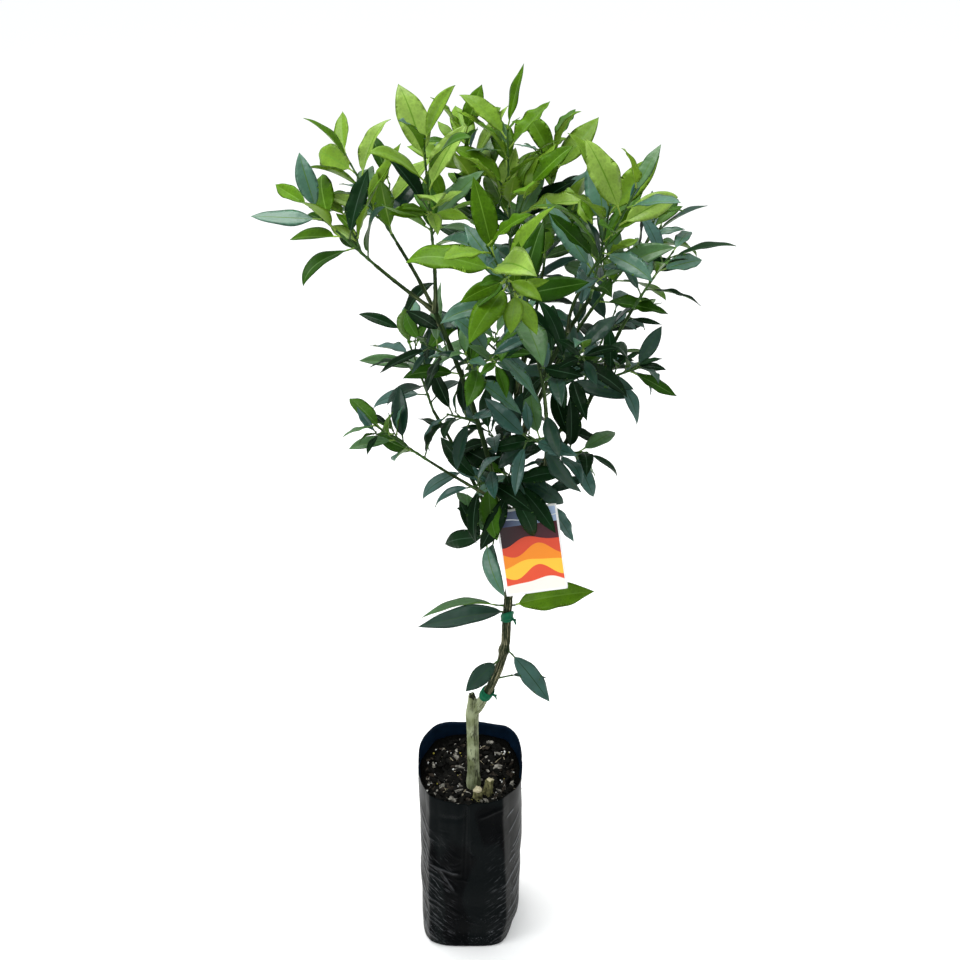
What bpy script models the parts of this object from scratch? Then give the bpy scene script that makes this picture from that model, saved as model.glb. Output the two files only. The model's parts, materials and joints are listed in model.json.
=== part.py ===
"""A young grafted citrus tree in a black polythene planter bag, with a picture label leaning on its stem.

Metres, +Z up, with the origin at the middle of the bag's flat underside. A limb is a walk: it leaves its
parent with a heading and bends evenly along its length. Leaves stand in a spiral round the outer end of a
limb, or round a short shoot, and each such spiral is one mass of foliage. A leaf that would touch a limb or
another leaf is turned a little, and left out where turning doesn't free it.
"""

import math
import random
from collections import namedtuple

import bmesh
import bpy
from mathutils import Matrix, Vector
from mathutils.bvhtree import BVHTree

GAP = 0.0003  # between pieces that touch

# The bag: a rounded square of film, with a rim that stands higher at the back
BAG_HALF_WIDTH = 0.0725
BAG_HALF_DEPTH = 0.0700
BAG_FOOT_SHARE = 0.99  # of those at the foot
BAG_SQUARENESS = (4.0, 2.6)  # exponent of the superellipse, at the foot and above the shoulder
BAG_SIDES = 28
BAG_WALL = 0.0012
BAG_FRONT_RIM = 0.300
BAG_BACK_RIM = 0.320
BAG_HEM_ROUNDING = 0.005  # the foot's edge
TUCK_HEIGHT = 0.052  # below this the gusset is tucked in on the right
TUCK_SHARE = 0.20
BAG_SHOULDER = 0.262  # the bag rounds off up to here
BAG_LEVELS = (0.008, 0.026, 0.052, 0.120, 0.200, BAG_SHOULDER)

# The potting mix and where the trunk comes out of it
SOIL_TOP = 0.271
SOIL_REAR_RISE = 0.018  # at the back film
SOIL_LUMPS = 0.005
LUMP_SHARES = (0.1, 1)
LUMPS_END = 1.1  # above 1, so that the lumps fade out before they reach the level patch
SOIL_GAP = 0.0005  # to the film: wider than the other gaps, as its four-sided faces fold the other way
SOIL_RINGS = 4
TRUNK_FOOT = (0.005, -0.013)
TRUNK_PATCH = 0.017  # radius of the level patch round the trunk

# The trunk: the rootstock, the bow that leaves it below its cut top, and the leader above
ROOTSTOCK_RADIUS = 0.0086
ROOTSTOCK_TOP_RADIUS = 0.0072
FLARE_RADIUS = 0.0105
FLARE_HEIGHT = 0.016
BOW_RADII = (0.0062, 0.0060)
LEADER_RADII = (0.0062, 0.0044)
KNOT_HEIGHT = 0.90  # share of the bow's length
KNOT_RADIUS = 0.0078
TRUNK_PARTS = ("rootstock", "bow", "leader")
TRUNK_SIDES = 10
TRUNK_STEP = 0.022  # about, between the rings of the trunk

LIMB_SIDES = 6
LIMB_STEP = 0.03
STEM_STEP = 0.025  # about, between the points of a mass's own stem
NEARLY_UPRIGHT = 0.05  # sine of the angle from the vertical, below which any level side will do

# Side twigs: where they leave the stem, as shares of its length, and how they lean
TWIG_SIDES = 3
TWIG_RADII = (0.0015, 0.0009)
TWIG_FIRST = 0.22
TWIG_SPACING = 0.2
TWIG_SHARE = 0.5  # length of a side twig, as a share of its stem
TWIG_LEAN = 1.1  # outward, against 1 along the stem
TWIG_CURL = 10
TWIG_STEPS = 3
FEWEST_TWIG_LEAVES = 3

# A leaf: sections along its midrib as shares of its length and of its half width
LEAF_SECTIONS = ((0.0, 0.0), (0.44, 1.0), (0.78, 0.66))
LEAF_STEPS = 12  # along the bent midrib, from which the sections are taken
PETIOLE_HALF_WIDTH = 0.0009
MIDRIB_DEPTH = 0.0013
LIGHT = Vector((-0.15, -0.45, 0.9))  # leaves turn their upper faces towards it
STEM_PULL = 0.5  # how far the upper faces turn along the stem as well
OUTWARD_PULLS = (-0.5, 0.3)  # and away from it
SPREAD_SHARES = (1.25, 0.75)  # of a mass's spread, at the foot and the tip of its stem
SPREAD_JITTER = 8  # degrees either way
LEAF_LENGTHS = (0.86, 1.1)  # as shares of the mass's leaf
TIP_LEAF_START = 0.9  # beyond this share of the stem its leaves are shorter
TIP_LEAF_SHARE = 0.85
LEAF_WIDTHS = (0.33, 0.43)  # as shares of the length
LEAF_DROOPS = (0.6, 1.5)  # as shares of the mass's droop
GOLDEN_TURN = 137.5  # degrees from each leaf to the next round the stem
BLADE_START = 0.2  # a leaf is tested against its own stem beyond this share of its length
STEM_BARE = 0.012  # of the stem, below its first leaf
REACH = 1.35  # leaf lengths from the stem, which bound a mass's space
# Turns round the stem and shares of the spread that are tried for a leaf, one after another
TRIES = ((0, 1.0), (22, 1.0), (-22, 1.0), (0, 0.75), (44, 0.9), (-44, 0.9), (70, 0.8), (-70, 0.8))

# A limb: its parent and how far along it starts, its heading, its bend and its two radii
Limb = namedtuple("Limb", "parent along azimuth rise length curl sway foot tip")
# A mass of foliage: where its stem leaves its parent, its heading, its leaves and the seed of their spiral
Mass = namedtuple("Mass", "parent along azimuth rise length curl leaves leaf spread droop twigs tone seed")

LIMBS = {
    "rootstock": Limb(None, 0.0, 130, 88.5, 0.168, 1, 0, ROOTSTOCK_RADIUS, ROOTSTOCK_TOP_RADIUS),
    "bow": Limb("rootstock", 0.80, -7, 59, 0.134, 24, 4, *BOW_RADII),
    "leader": Limb("bow", 1.0, 17, 89, 0.272, -11, 74, *LEADER_RADII),
    "left_stem": Limb("leader", 0.25, -113, 84, 0.418, -15, -67, 0.0036, 0.0027),
    "right_bough": Limb("leader", 0.70, -8, 57, 0.199, 6, 42, 0.0034, 0.0026),
    "centre_bough": Limb("leader", 1.0, 98, 68, 0.215, 6, 1, 0.0034, 0.0023),
    "front_right_bough": Limb("leader", 1.0, -70, 69, 0.255, -11, 30, 0.0032, 0.0022),
    "far_right_bough": Limb("leader", 1.0, 32, 68, 0.185, -17, -7, 0.0032, 0.0022),
    "far_left_bough": Limb("left_stem", 1.0, 177, 37, 0.078, 1, -11, 0.0024, 0.0019),
    "upright_left_bough": Limb("left_stem", 1.0, -79, 73, 0.070, 3, -18, 0.0024, 0.0019),
    "back_left_bough": Limb("left_stem", 0.96, 124, 45, 0.100, 0, 15, 0.0023, 0.0018),
    "low_left_bough": Limb("left_stem", 0.38, -153, 40, 0.112, 3, -4, 0.0021, 0.0016),
    "right_tip_bough": Limb("right_bough", 1.0, 14, 75, 0.085, -17, 7, 0.0024, 0.0018),
    "front_bough": Limb("right_bough", 0.32, -89, 67, 0.290, -11, -28, 0.0027, 0.0018),
    "top_back_bough": Limb("centre_bough", 0.60, 117, 58, 0.090, 4, 4, 0.0021, 0.0017),
    "top_right_bough": Limb("centre_bough", 0.30, 62, 54, 0.150, 14, 5, 0.0022, 0.0016),
    "high_right_bough": Limb("front_right_bough", 0.80, -101, 52, 0.085, 8, 45, 0.0020, 0.0016),
    "rear_left_bough": Limb("leader", 0.45, 142, 60, 0.210, -6, 8, 0.0028, 0.0018),
    "rear_bough": Limb("leader", 0.86, 88, 56, 0.190, -4, -6, 0.0027, 0.0018),
    "rear_right_bough": Limb("leader", 0.67, 40, 55, 0.170, -6, 6, 0.0027, 0.0018),
}

MASSES = {
    "far_left_leaves": Mass("far_left_bough", 1.0, 168, 40, 0.085, 2, 10, 0.074, 50, 14, 1, "young", 58),
    "upright_left_leaves": Mass("upright_left_bough", 1, -104, 76, 0.120, 4, 12, 0.078, 42, 12, 0, "young", 41),
    "back_left_leaves": Mass("back_left_bough", 1.0, 142, 48, 0.105, 4, 10, 0.078, 46, 14, 1, "young", 15),
    "low_left_leaves": Mass("low_left_bough", 1.0, -157, 43, 0.085, 2, 8, 0.058, 48, 10, 0, "mid", 22),
    "left_middle_leaves": Mass("left_stem", 0.86, -175, 30, 0.040, 0, 6, 0.066, 66, 22, 0, "mature", 52),
    "left_inner_leaves": Mass("left_stem", 0.66, -170, 20, 0.034, 0, 6, 0.062, 66, 28, 0, "mature", 47),
    "left_high_leaves": Mass("left_stem", 0.80, -40, 42, 0.085, 4, 8, 0.072, 60, 24, 0, "mid", 34),
    "left_low_leaves": Mass("left_stem", 0.46, -130, 10, 0.034, 0, 6, 0.072, 70, 34, 0, "mature", 37),
    "left_lowest_leaves": Mass("left_stem", 0.26, -140, 5, 0.030, 0, 6, 0.072, 70, 40, 0, "mature", 63),
    "label_leaves": Mass("leader", 0.90, -100, 10, 0.064, 0, 7, 0.078, 74, 52, 0, "mature", 10),
    "right_low_leaves": Mass("right_bough", 0.48, -25, 15, 0.034, 0, 6, 0.068, 62, 30, 0, "mature", 60),
    "right_lowest_leaves": Mass("right_bough", 0.22, -70, 0, 0.036, 0, 5, 0.060, 66, 34, 0, "mature", 27),
    "right_middle_leaves": Mass("right_bough", 0.97, -15, 24, 0.050, 4, 8, 0.068, 60, 26, 0, "mature", 32),
    "right_tip_leaves": Mass("right_tip_bough", 1.0, 20, 58, 0.075, -8, 9, 0.070, 54, 22, 0, "mid", 8),
    "front_leaves": Mass("front_bough", 1.0, -120, 55, 0.125, -4, 12, 0.082, 50, 18, 0, "young", 23),
    "front_middle_leaves": Mass("front_bough", 0.62, -20, 45, 0.060, 0, 7, 0.072, 60, 26, 0, "mature", 60),
    "front_low_leaves": Mass("front_bough", 0.25, -125, 20, 0.045, 0, 6, 0.070, 66, 34, 0, "mature", 21),
    "centre_leaves": Mass("centre_bough", 1.0, 99, 75, 0.145, 4, 14, 0.080, 44, 12, 1, "young", 34),
    "centre_middle_leaves": Mass("centre_bough", 0.45, -165, 45, 0.085, 4, 9, 0.074, 58, 24, 0, "mid", 2),
    "top_back_leaves": Mass("top_back_bough", 1.0, 128, 66, 0.145, 4, 13, 0.076, 44, 12, 1, "young", 36),
    "top_right_leaves": Mass("top_right_bough", 1.0, 72, 72, 0.135, 6, 13, 0.076, 44, 12, 1, "young", 41),
    "front_right_leaves": Mass("front_right_bough", 1, -62, 74, 0.105, 4, 11, 0.088, 44, 12, 0, "young", 37),
    "high_right_leaves": Mass("high_right_bough", 1.0, -42, 60, 0.120, 6, 11, 0.074, 48, 16, 0, "young", 54),
    "far_right_leaves": Mass("far_right_bough", 1.0, 25, 48, 0.118, -6, 12, 0.074, 50, 20, 1, "mid", 63),
    "inner_right_leaves": Mass("far_right_bough", 0.45, -50, 32, 0.065, 4, 8, 0.072, 60, 26, 0, "mature", 47),
    "rear_left_leaves": Mass("rear_left_bough", 1.0, 128, 58, 0.110, -2, 11, 0.074, 54, 22, 1, "mid", 29),
    "rear_leaves": Mass("rear_bough", 1.0, 82, 52, 0.120, -2, 12, 0.074, 54, 22, 1, "mid", 55),
    "rear_right_leaves": Mass("rear_right_bough", 1.0, 50, 52, 0.105, -2, 11, 0.074, 54, 22, 1, "mature", 19),
    "leader_leaves": Mass("leader", 0.96, -165, 45, 0.050, 0, 7, 0.070, 64, 30, 0, "mature", 43),
    "spur_left_leaves": Mass("leader", 0.21, -174, 8, 0.014, 0, 2, 0.104, 26, 12, 0, "mid", 125),
    "spur_right_leaves": Mass("leader", 0.21, -10, 14, 0.008, 0, 1, 0.116, 8, 8, 0, "young", 44),
    "lowest_right_leaves": Mass("bow", 0.93, -40, -22, 0.013, 0, 1, 0.094, 4, 40, 0, "mature", 86),
    "lower_right_leaves": Mass("bow", 0.52, 8, 8, 0.022, 0, 1, 0.064, 4, 34, 0, "mature", 91),
    "lowest_left_leaves": Mass("bow", 0.80, -138, -10, 0.010, 0, 1, 0.072, 4, 56, 0, "mature", 31),
}

# The label: a card that leans back against the foliage, with a strap round the leader
LABEL_WIDTH = 0.072
LABEL_HEIGHT = 0.100
LABEL_THICKNESS = 0.0008
LABEL_CENTRE = Vector((0.073, -0.072, 0.714))
LABEL_LEAN = 28  # degrees, its top to the back
LABEL_ROLL = 8  # degrees, its right side up
LABEL_CLEARANCE = 0.002  # from any leaf
STRAP_ALONG = 0.84  # share of the leader's length where the strap goes round it
STRAP_RADIUS = 0.0008
STRAP_SUNK = 0.002  # into the card's top edge
STRAP_ARC_STEPS = 6
STRAP_SIDES = 5

# Bands of soft green tape: the limb and how far along it
TIES = {"graft_tie": ("bow", 0.32), "stem_tie": ("leader", 0.150), "label_tie": ("leader", 0.625)}
TIE_HEIGHT = 0.008
TIE_THICKNESS = 0.0012
TIE_SIDES = 12

SHARP_ANGLE = 40  # degrees between faces that meet in a crease

# Colours: base colour, roughness, metallic
FILM = ((0.008, 0.009, 0.011), 0.25, 0.0)
SOIL = ((0.045, 0.032, 0.024), 0.95, 0.0)
ROOTSTOCK_BARK = ((0.30, 0.31, 0.19), 0.8, 0.0)
GREEN_BARK = ((0.06, 0.11, 0.03), 0.6, 0.0)
LEAF_COLOURS = {
    "young": ((0.16, 0.33, 0.04), 0.42, 0.0),
    "mid": ((0.05, 0.16, 0.04), 0.40, 0.0),
    "mature": ((0.015, 0.065, 0.035), 0.36, 0.0),
}
CARD = ((0.80, 0.62, 0.30), 0.35, 0.0)
TAPE = ((0.0, 0.16, 0.09), 0.4, 0.0)


def clear_scene():
    for obj in list(bpy.data.objects):
        bpy.data.objects.remove(obj)


def material(name, look):
    made = bpy.data.materials.new(name)
    made.use_nodes = True
    shader = made.node_tree.nodes["Principled BSDF"]
    colour, roughness, metallic = look
    shader.inputs["Base Color"].default_value = (*colour, 1.0)
    shader.inputs["Roughness"].default_value = roughness
    shader.inputs["Metallic"].default_value = metallic
    return made


def add_object(name, shape, look=None):
    """An object from (vertices, faces), with its own material where it is a piece of the tree."""
    mesh = bpy.data.meshes.new(name)
    mesh.from_pydata(shape[0], [], shape[1])
    mesh.update()
    obj = bpy.data.objects.new(name, mesh)
    bpy.context.scene.collection.objects.link(obj)
    if look:
        mesh.materials.append(material(name, look))
    return obj


def apply_modifiers(obj):
    """Give the object the mesh that its modifiers make."""
    bpy.context.view_layer.update()
    graph = bpy.context.evaluated_depsgraph_get()
    mesh = bpy.data.meshes.new_from_object(obj.evaluated_get(graph))
    obj.modifiers.clear()
    obj.data = mesh


def shade_smooth():
    for obj in bpy.data.objects:
        obj.data.shade_smooth()
        obj.data.set_sharp_from_angle(angle=math.radians(SHARP_ANGLE))


def boolean_with(obj, others, operation):
    """One Boolean of the object with all the others, which are then removed."""
    helpers = bpy.data.collections.new("helpers")
    for other in others:
        helpers.objects.link(other)
    modifier = obj.modifiers.new("boolean", "BOOLEAN")
    modifier.operation = operation
    modifier.operand_type = "COLLECTION"
    modifier.collection = helpers
    modifier.solver = "EXACT"
    apply_modifiers(obj)
    for other in others:
        bpy.data.objects.remove(other)
    bpy.data.collections.remove(helpers)


def keep_largest_body(obj):
    """Drop the loose scraps that a cut leaves."""
    work = bmesh.new()
    work.from_mesh(obj.data)
    todo = set(work.verts)
    bodies = []
    while todo:
        body = set()
        waiting = [todo.pop()]
        while waiting:
            vertex = waiting.pop()
            body.add(vertex)
            near = [edge.other_vert(vertex) for edge in vertex.link_edges]
            waiting.extend(v for v in near if v in todo)
            todo.difference_update(near)
        bodies.append(body)
    largest = max(bodies, key=len)
    bmesh.ops.delete(work, geom=[v for v in work.verts if v not in largest], context="VERTS")
    work.to_mesh(obj.data)
    work.free()


# ---- lines and tubes ----


def heading(azimuth, rise):
    """A unit vector: azimuth in degrees anticlockwise from +X, rise in degrees above the level."""
    turn = math.radians(azimuth)
    lift = math.radians(rise)
    return Vector((math.cos(lift) * math.cos(turn), math.cos(lift) * math.sin(turn), math.sin(lift)))


def walk(start, azimuth, rise, length, curl, sway, steps):
    """Points of a line that starts with a heading and bends evenly."""
    points = [Vector(start)]
    for step in range(steps):
        share = (step + 0.5) / steps
        points.append(points[-1] + heading(azimuth + sway * share, rise + curl * share) * length / steps)
    return points


def along(points, share):
    """The point at a share of an evenly stepped line, and the line's direction there."""
    place = min(max(share, 0.0), 1.0) * (len(points) - 1)
    index = min(int(place), len(points) - 2)
    direction = (points[index + 1] - points[index]).normalized()
    return points[index].lerp(points[index + 1], place - index), direction


def mixed(ends, share):
    return ends[0] + (ends[1] - ends[0]) * share


def side_vector(direction):
    """A level vector square to the direction, whatever it is."""
    side = direction.cross(Vector((0, 0, 1)))
    return side.normalized() if side.length > NEARLY_UPRIGHT else Vector((1, 0, 0))


def tube(points, radii, sides):
    """A closed tube through the points, with flat ends square to it."""
    vertices = []
    side = side_vector(points[1] - points[0])
    for index, point in enumerate(points):
        before = points[max(index - 1, 0)]
        after = points[min(index + 1, len(points) - 1)]
        direction = (after - before).normalized()
        side = (side - direction * side.dot(direction)).normalized()
        other = direction.cross(side)
        for corner in range(sides):
            turn = math.tau * corner / sides
            vertices.append(point + (side * math.cos(turn) + other * math.sin(turn)) * radii[index])
    rings = [[index * sides + corner for corner in range(sides)] for index in range(len(points))]
    return vertices, ring_faces(rings)


def ring_faces(rings):
    """Faces between rings that turn anticlockwise seen from the last one, with both ends capped."""
    sides = len(rings[0])
    faces = [tuple(reversed(rings[0]))]
    for low, high in zip(rings, rings[1:]):
        for corner in range(sides):
            after = (corner + 1) % sides
            faces.append((low[corner], low[after], high[after], high[corner]))
    faces.append(tuple(rings[-1]))
    return faces


# ---- limbs ----


def limb_line(name, lines):
    """The middle line of a limb, which starts on its parent's own line."""
    limb = LIMBS[name]
    if limb.parent is None:
        start = Vector((*TRUNK_FOOT, SOIL_TOP + GAP))
    else:
        start = along(lines[limb.parent], limb.along)[0]
    step = TRUNK_STEP if name in TRUNK_PARTS else LIMB_STEP
    steps = max(3, round(limb.length / step))
    return walk(start, limb.azimuth, limb.rise, limb.length, limb.curl, limb.sway, steps)


def limb_radii(name, count):
    limb = LIMBS[name]
    radii = [mixed((limb.foot, limb.tip), step / (count - 1)) for step in range(count)]
    if name == "bow":
        radii[round(KNOT_HEIGHT * (count - 1))] = KNOT_RADIUS
    return radii


def widened_limb(name, line):
    """The limb's tube with the gap added all round and at its tip, to cut others clear of it."""
    sides = TRUNK_SIDES if name in TRUNK_PARTS else LIMB_SIDES
    spare = GAP / math.cos(math.pi / sides)
    radii = [radius + spare for radius in limb_radii(name, len(line))]
    tip = (line[-1] - line[-2]).normalized() * GAP
    return tube([*line[:-1], line[-1] + tip], radii, sides)


def add_trunk(lines):
    """Rootstock, bow and leader as one solid, from a flat flared foot to the fork."""
    root = lines["rootstock"]
    flare = root[0] + Vector((0, 0, FLARE_HEIGHT))
    points = [root[0], flare, *root[1:]]
    radii = [FLARE_RADIUS, *limb_radii("rootstock", len(root))]
    trunk = add_object("trunk", tube(points, radii, TRUNK_SIDES), ROOTSTOCK_BARK)
    parts = []
    for name in TRUNK_PARTS[1:]:
        line = lines[name]
        parts.append(add_object(name, tube(line, limb_radii(name, len(line)), TRUNK_SIDES)))
    boolean_with(trunk, parts, "UNION")


def add_limbs(lines):
    """Each bough, cut clear of the limbs that were made before it."""
    made = list(TRUNK_PARTS)
    for name in LIMBS:
        if name in TRUNK_PARTS:
            continue
        line = lines[name]
        bough = add_object(name, tube(line, limb_radii(name, len(line)), LIMB_SIDES), GREEN_BARK)
        cutters = [add_object("cutter", widened_limb(other, lines[other])) for other in made]
        boolean_with(bough, cutters, "DIFFERENCE")
        keep_largest_body(bough)
        made.append(name)


# ---- leaves ----

Leaf = namedtuple("Leaf", "root direction normal length width droop")


def leaf_solid(leaf, spare=0.0, start=0.0):
    """A closed leaf: three-cornered sections along a midrib that bends down, then a point."""
    side = leaf.direction.cross(leaf.normal).normalized()
    bend = Matrix.Rotation(math.radians(-leaf.droop / LEAF_STEPS), 3, side)
    midrib = [leaf.root.copy()]
    direction = leaf.direction.copy()
    normals = [leaf.normal]
    for _ in range(LEAF_STEPS):
        midrib.append(midrib[-1] + direction * leaf.length / LEAF_STEPS)
        direction = bend @ direction
        normals.append(bend @ normals[-1])
    vertices = []
    for share, width in LEAF_SECTIONS:
        share = max(share, start)
        index = round(share * LEAF_STEPS)
        half = max(leaf.width / 2 * width, PETIOLE_HALF_WIDTH) + spare
        middle = midrib[index] + normals[index] * spare
        vertices += [
            middle - side * half,
            middle + side * half,
            middle - normals[index] * (MIDRIB_DEPTH + 2 * spare),
        ]
    vertices.append(midrib[-1])
    rings = [(0, 1, 2), (3, 4, 5), (6, 7, 8)]
    faces = ring_faces(rings)[:-1]
    faces += [(6, 7, 9), (7, 8, 9), (8, 6, 9)]
    return vertices, faces


Block = namedtuple("Block", "tree low high")


def block_of(shape):
    """A solid's search tree and its box, for quick tests of what touches what."""
    corners = list(zip(*shape[0]))
    return Block(BVHTree.FromPolygons(*shape), [min(c) for c in corners], [max(c) for c in corners])


def crosses(shape, blocks):
    """Whether the solid's surface cuts through that of any block."""
    tested = block_of(shape)
    for block in blocks:
        apart = any(tested.low[i] > block.high[i] or tested.high[i] < block.low[i] for i in range(3))
        if not apart and tested.tree.overlap(block.tree):
            return True
    return False


def leaf_at(stem, share, turn, mass, chance):
    """The leaf that stands at a share of the stem, turned so many degrees round it."""
    root, stem_direction = along(stem, share)
    across = side_vector(stem_direction)
    outward = Matrix.Rotation(math.radians(turn), 3, stem_direction) @ across
    jitter = chance.uniform(-SPREAD_JITTER, SPREAD_JITTER)
    spread = math.radians(mass.spread * mixed(SPREAD_SHARES, share) + jitter)
    direction = stem_direction * math.cos(spread) + outward * math.sin(spread)
    upward = LIGHT + stem_direction * STEM_PULL + outward * chance.uniform(*OUTWARD_PULLS)
    normal = (upward - direction * upward.dot(direction)).normalized()
    length = mass.leaf * chance.uniform(*LEAF_LENGTHS) * (1.0 if share < TIP_LEAF_START else TIP_LEAF_SHARE)
    width = length * chance.uniform(*LEAF_WIDTHS)
    droop = mass.droop * chance.uniform(*LEAF_DROOPS)
    return Leaf(root, direction, normal, length, width, droop)


def inside_space(shape, stem, reach):
    """Whether every corner is within reach of the stem, and clear of the bag."""
    return all(
        min((corner - point).length for point in stem) < reach and corner.z > BAG_BACK_RIM
        for corner in shape[0]
    )


def free_leaf(stem, share, turn, mass, chance, others, own_stems):
    """The first leaf of a few turned ones that stays in the mass's space and touches nothing."""
    state = chance.getstate()
    for extra, closer in TRIES:
        chance.setstate(state)
        leaf = leaf_at(stem, share, turn + extra, mass._replace(spread=mass.spread * closer), chance)
        whole = leaf_solid(leaf, GAP)
        if not inside_space(whole, stem, mass.leaf * REACH):
            continue
        if not crosses(whole, others) and not crosses(leaf_solid(leaf, GAP, BLADE_START), own_stems):
            return leaf
    return None


def spiral_leaves(mass, stem, count, chance, others, own_stems):
    """Leaves in a spiral up one stem."""
    placed = []
    first = STEM_BARE / (len(stem) * (stem[1] - stem[0]).length)
    turn = chance.uniform(0, 360)
    for number in range(count):
        share = mixed((first, 1.0), number / (count - 1)) if count > 1 else 1.0
        turn += GOLDEN_TURN
        leaf = free_leaf(stem, share, turn, mass, chance, others, own_stems)
        if leaf:
            placed.append(leaf)
            others.append(block_of(leaf_solid(leaf, GAP)))
    return placed


def side_twigs(mass, stem, chance):
    """Short twigs that branch from the lower part of the stem."""
    twigs = []
    for number in range(mass.twigs):
        root, direction = along(stem, TWIG_FIRST + TWIG_SPACING * number)
        outward = Matrix.Rotation(chance.uniform(0, math.tau), 3, direction) @ side_vector(direction)
        lean = (direction + outward * TWIG_LEAN).normalized()
        azimuth = math.degrees(math.atan2(lean.y, lean.x))
        rise = math.degrees(math.asin(lean.z))
        twigs.append(walk(root, azimuth, rise, mass.length * TWIG_SHARE, TWIG_CURL, 0, TWIG_STEPS))
    return twigs


def mass_stems(name, lines):
    """The stem of a mass and its side twigs, as lines."""
    mass = MASSES[name]
    start = along(lines[mass.parent], mass.along)[0]
    steps = max(2, round(mass.length / STEM_STEP))
    stem = walk(start, mass.azimuth, mass.rise, mass.length, mass.curl, 0, steps)
    return [stem, *side_twigs(mass, stem, random.Random(f"{name} {mass.seed} twigs"))]


def twig_solid(line):
    radii = [mixed(TWIG_RADII, step / (len(line) - 1)) for step in range(len(line))]
    return tube(line, radii, TWIG_SIDES)


def grow_foliage(lines):
    """Every mass's stems, and its leaves, none of which touches another piece."""
    stems = {name: mass_stems(name, lines) for name in MASSES}
    stem_blocks = {name: [block_of(twig_solid(stem)) for stem in stems[name]] for name in MASSES}
    limb_blocks = [block_of(widened_limb(name, lines[name])) for name in LIMBS]
    limb_blocks.append(block_of(label_block(LABEL_CLEARANCE)))
    limb_blocks.append(block_of(strap_solid(lines, LABEL_CLEARANCE)))
    leaf_blocks = []
    leaves = {}
    for name, mass in MASSES.items():
        chance = random.Random(f"{name} {mass.seed}")
        other_stems = [tree for other in MASSES if other != name for tree in stem_blocks[other]]
        taken = limb_blocks + other_stems + leaf_blocks
        leaves[name] = []
        for number, stem in enumerate(stems[name]):
            count = mass.leaves if number == 0 else max(FEWEST_TWIG_LEAVES, mass.leaves // 2 - 1)
            leaves[name] += spiral_leaves(mass, stem, count, chance, taken, stem_blocks[name])
        leaf_blocks += [block_of(leaf_solid(leaf, GAP)) for leaf in leaves[name]]
    return stems, leaves


def add_masses(lines):
    """Each mass as one solid: its stem, cut clear of the limbs, with twigs and leaves joined on."""
    stems, leaves = grow_foliage(lines)
    for name, mass in MASSES.items():
        made = add_object(name, twig_solid(stems[name][0]), LEAF_COLOURS[mass.tone])
        cutters = [add_object("cutter", widened_limb(other, lines[other])) for other in LIMBS]
        boolean_with(made, cutters, "DIFFERENCE")
        keep_largest_body(made)
        pieces = [add_object("twig", twig_solid(stem)) for stem in stems[name][1:]]
        pieces += [add_object("leaf", leaf_solid(leaf)) for leaf in leaves[name]]
        boolean_with(made, pieces, "UNION")


# ---- the label and the ties ----


def label_turn():
    lean = Matrix.Rotation(math.radians(-LABEL_LEAN), 3, "X")
    return lean @ Matrix.Rotation(math.radians(-LABEL_ROLL), 3, "Y")


def label_block(spare):
    """The card as a block, with so much to spare all round."""
    half = Vector((LABEL_WIDTH / 2 + spare, LABEL_THICKNESS / 2 + spare, LABEL_HEIGHT / 2 + spare))
    vertices = []
    for z in (-half.z, half.z):
        for x, y in ((-half.x, -half.y), (half.x, -half.y), (half.x, half.y), (-half.x, half.y)):
            vertices.append(LABEL_CENTRE + label_turn() @ Vector((x, y, z)))
    return vertices, ring_faces([(0, 1, 2, 3), (4, 5, 6, 7)])


def strap_solid(lines, spare):
    """The strap: out of the card's top edge, round the back of the leader and into the card again."""
    loop = along(lines["leader"], STRAP_ALONG)[0]
    leader = mixed(LEADER_RADII, STRAP_ALONG)
    around = (leader + GAP + STRAP_RADIUS) / math.cos(math.pi / STRAP_ARC_STEPS / 2)
    edge = LABEL_CENTRE + label_turn() @ Vector((0, 0, LABEL_HEIGHT / 2 - STRAP_SUNK))
    level = Vector((edge.x - loop.x, edge.y - loop.y, 0)).normalized()
    across = Vector((-level.y, level.x, 0))
    points = [edge + across * around / 2]
    for step in range(STRAP_ARC_STEPS + 1):
        turn = math.pi * step / STRAP_ARC_STEPS
        points.append(loop + (across * math.cos(turn) - level * math.sin(turn)) * around)
    points.append(edge - across * around / 2)
    return tube(points, [STRAP_RADIUS + spare] * len(points), STRAP_SIDES)


def add_label(lines):
    label = add_object("label", label_block(0), CARD)
    boolean_with(label, [add_object("strap", strap_solid(lines, 0))], "UNION")


def add_tie(name, lines):
    """A band of tape round a limb, a gap clear of it."""
    limb, share = TIES[name]
    middle, direction = along(lines[limb], share)
    inner = (mixed((LIMBS[limb].foot, LIMBS[limb].tip), share) + GAP) / math.cos(math.pi / TIE_SIDES)
    side = side_vector(direction)
    other = direction.cross(side)
    vertices = []
    for radius, level in ((1, -1), (1, 1), (0, 1), (0, -1)):
        for corner in range(TIE_SIDES):
            turn = math.tau * corner / TIE_SIDES
            outward = side * math.cos(turn) + other * math.sin(turn)
            reach = inner + radius * TIE_THICKNESS
            vertices.append(middle + outward * reach + direction * level * TIE_HEIGHT / 2)
    rings = [[ring * TIE_SIDES + corner for corner in range(TIE_SIDES)] for ring in (0, 1, 2, 3, 0)]
    add_object(name, (vertices, ring_faces(rings)[1:-1]), TAPE)


# ---- the bag and what fills it ----


def superellipse(value, squareness):
    return math.copysign(abs(value) ** (2 / squareness), value)


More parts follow.
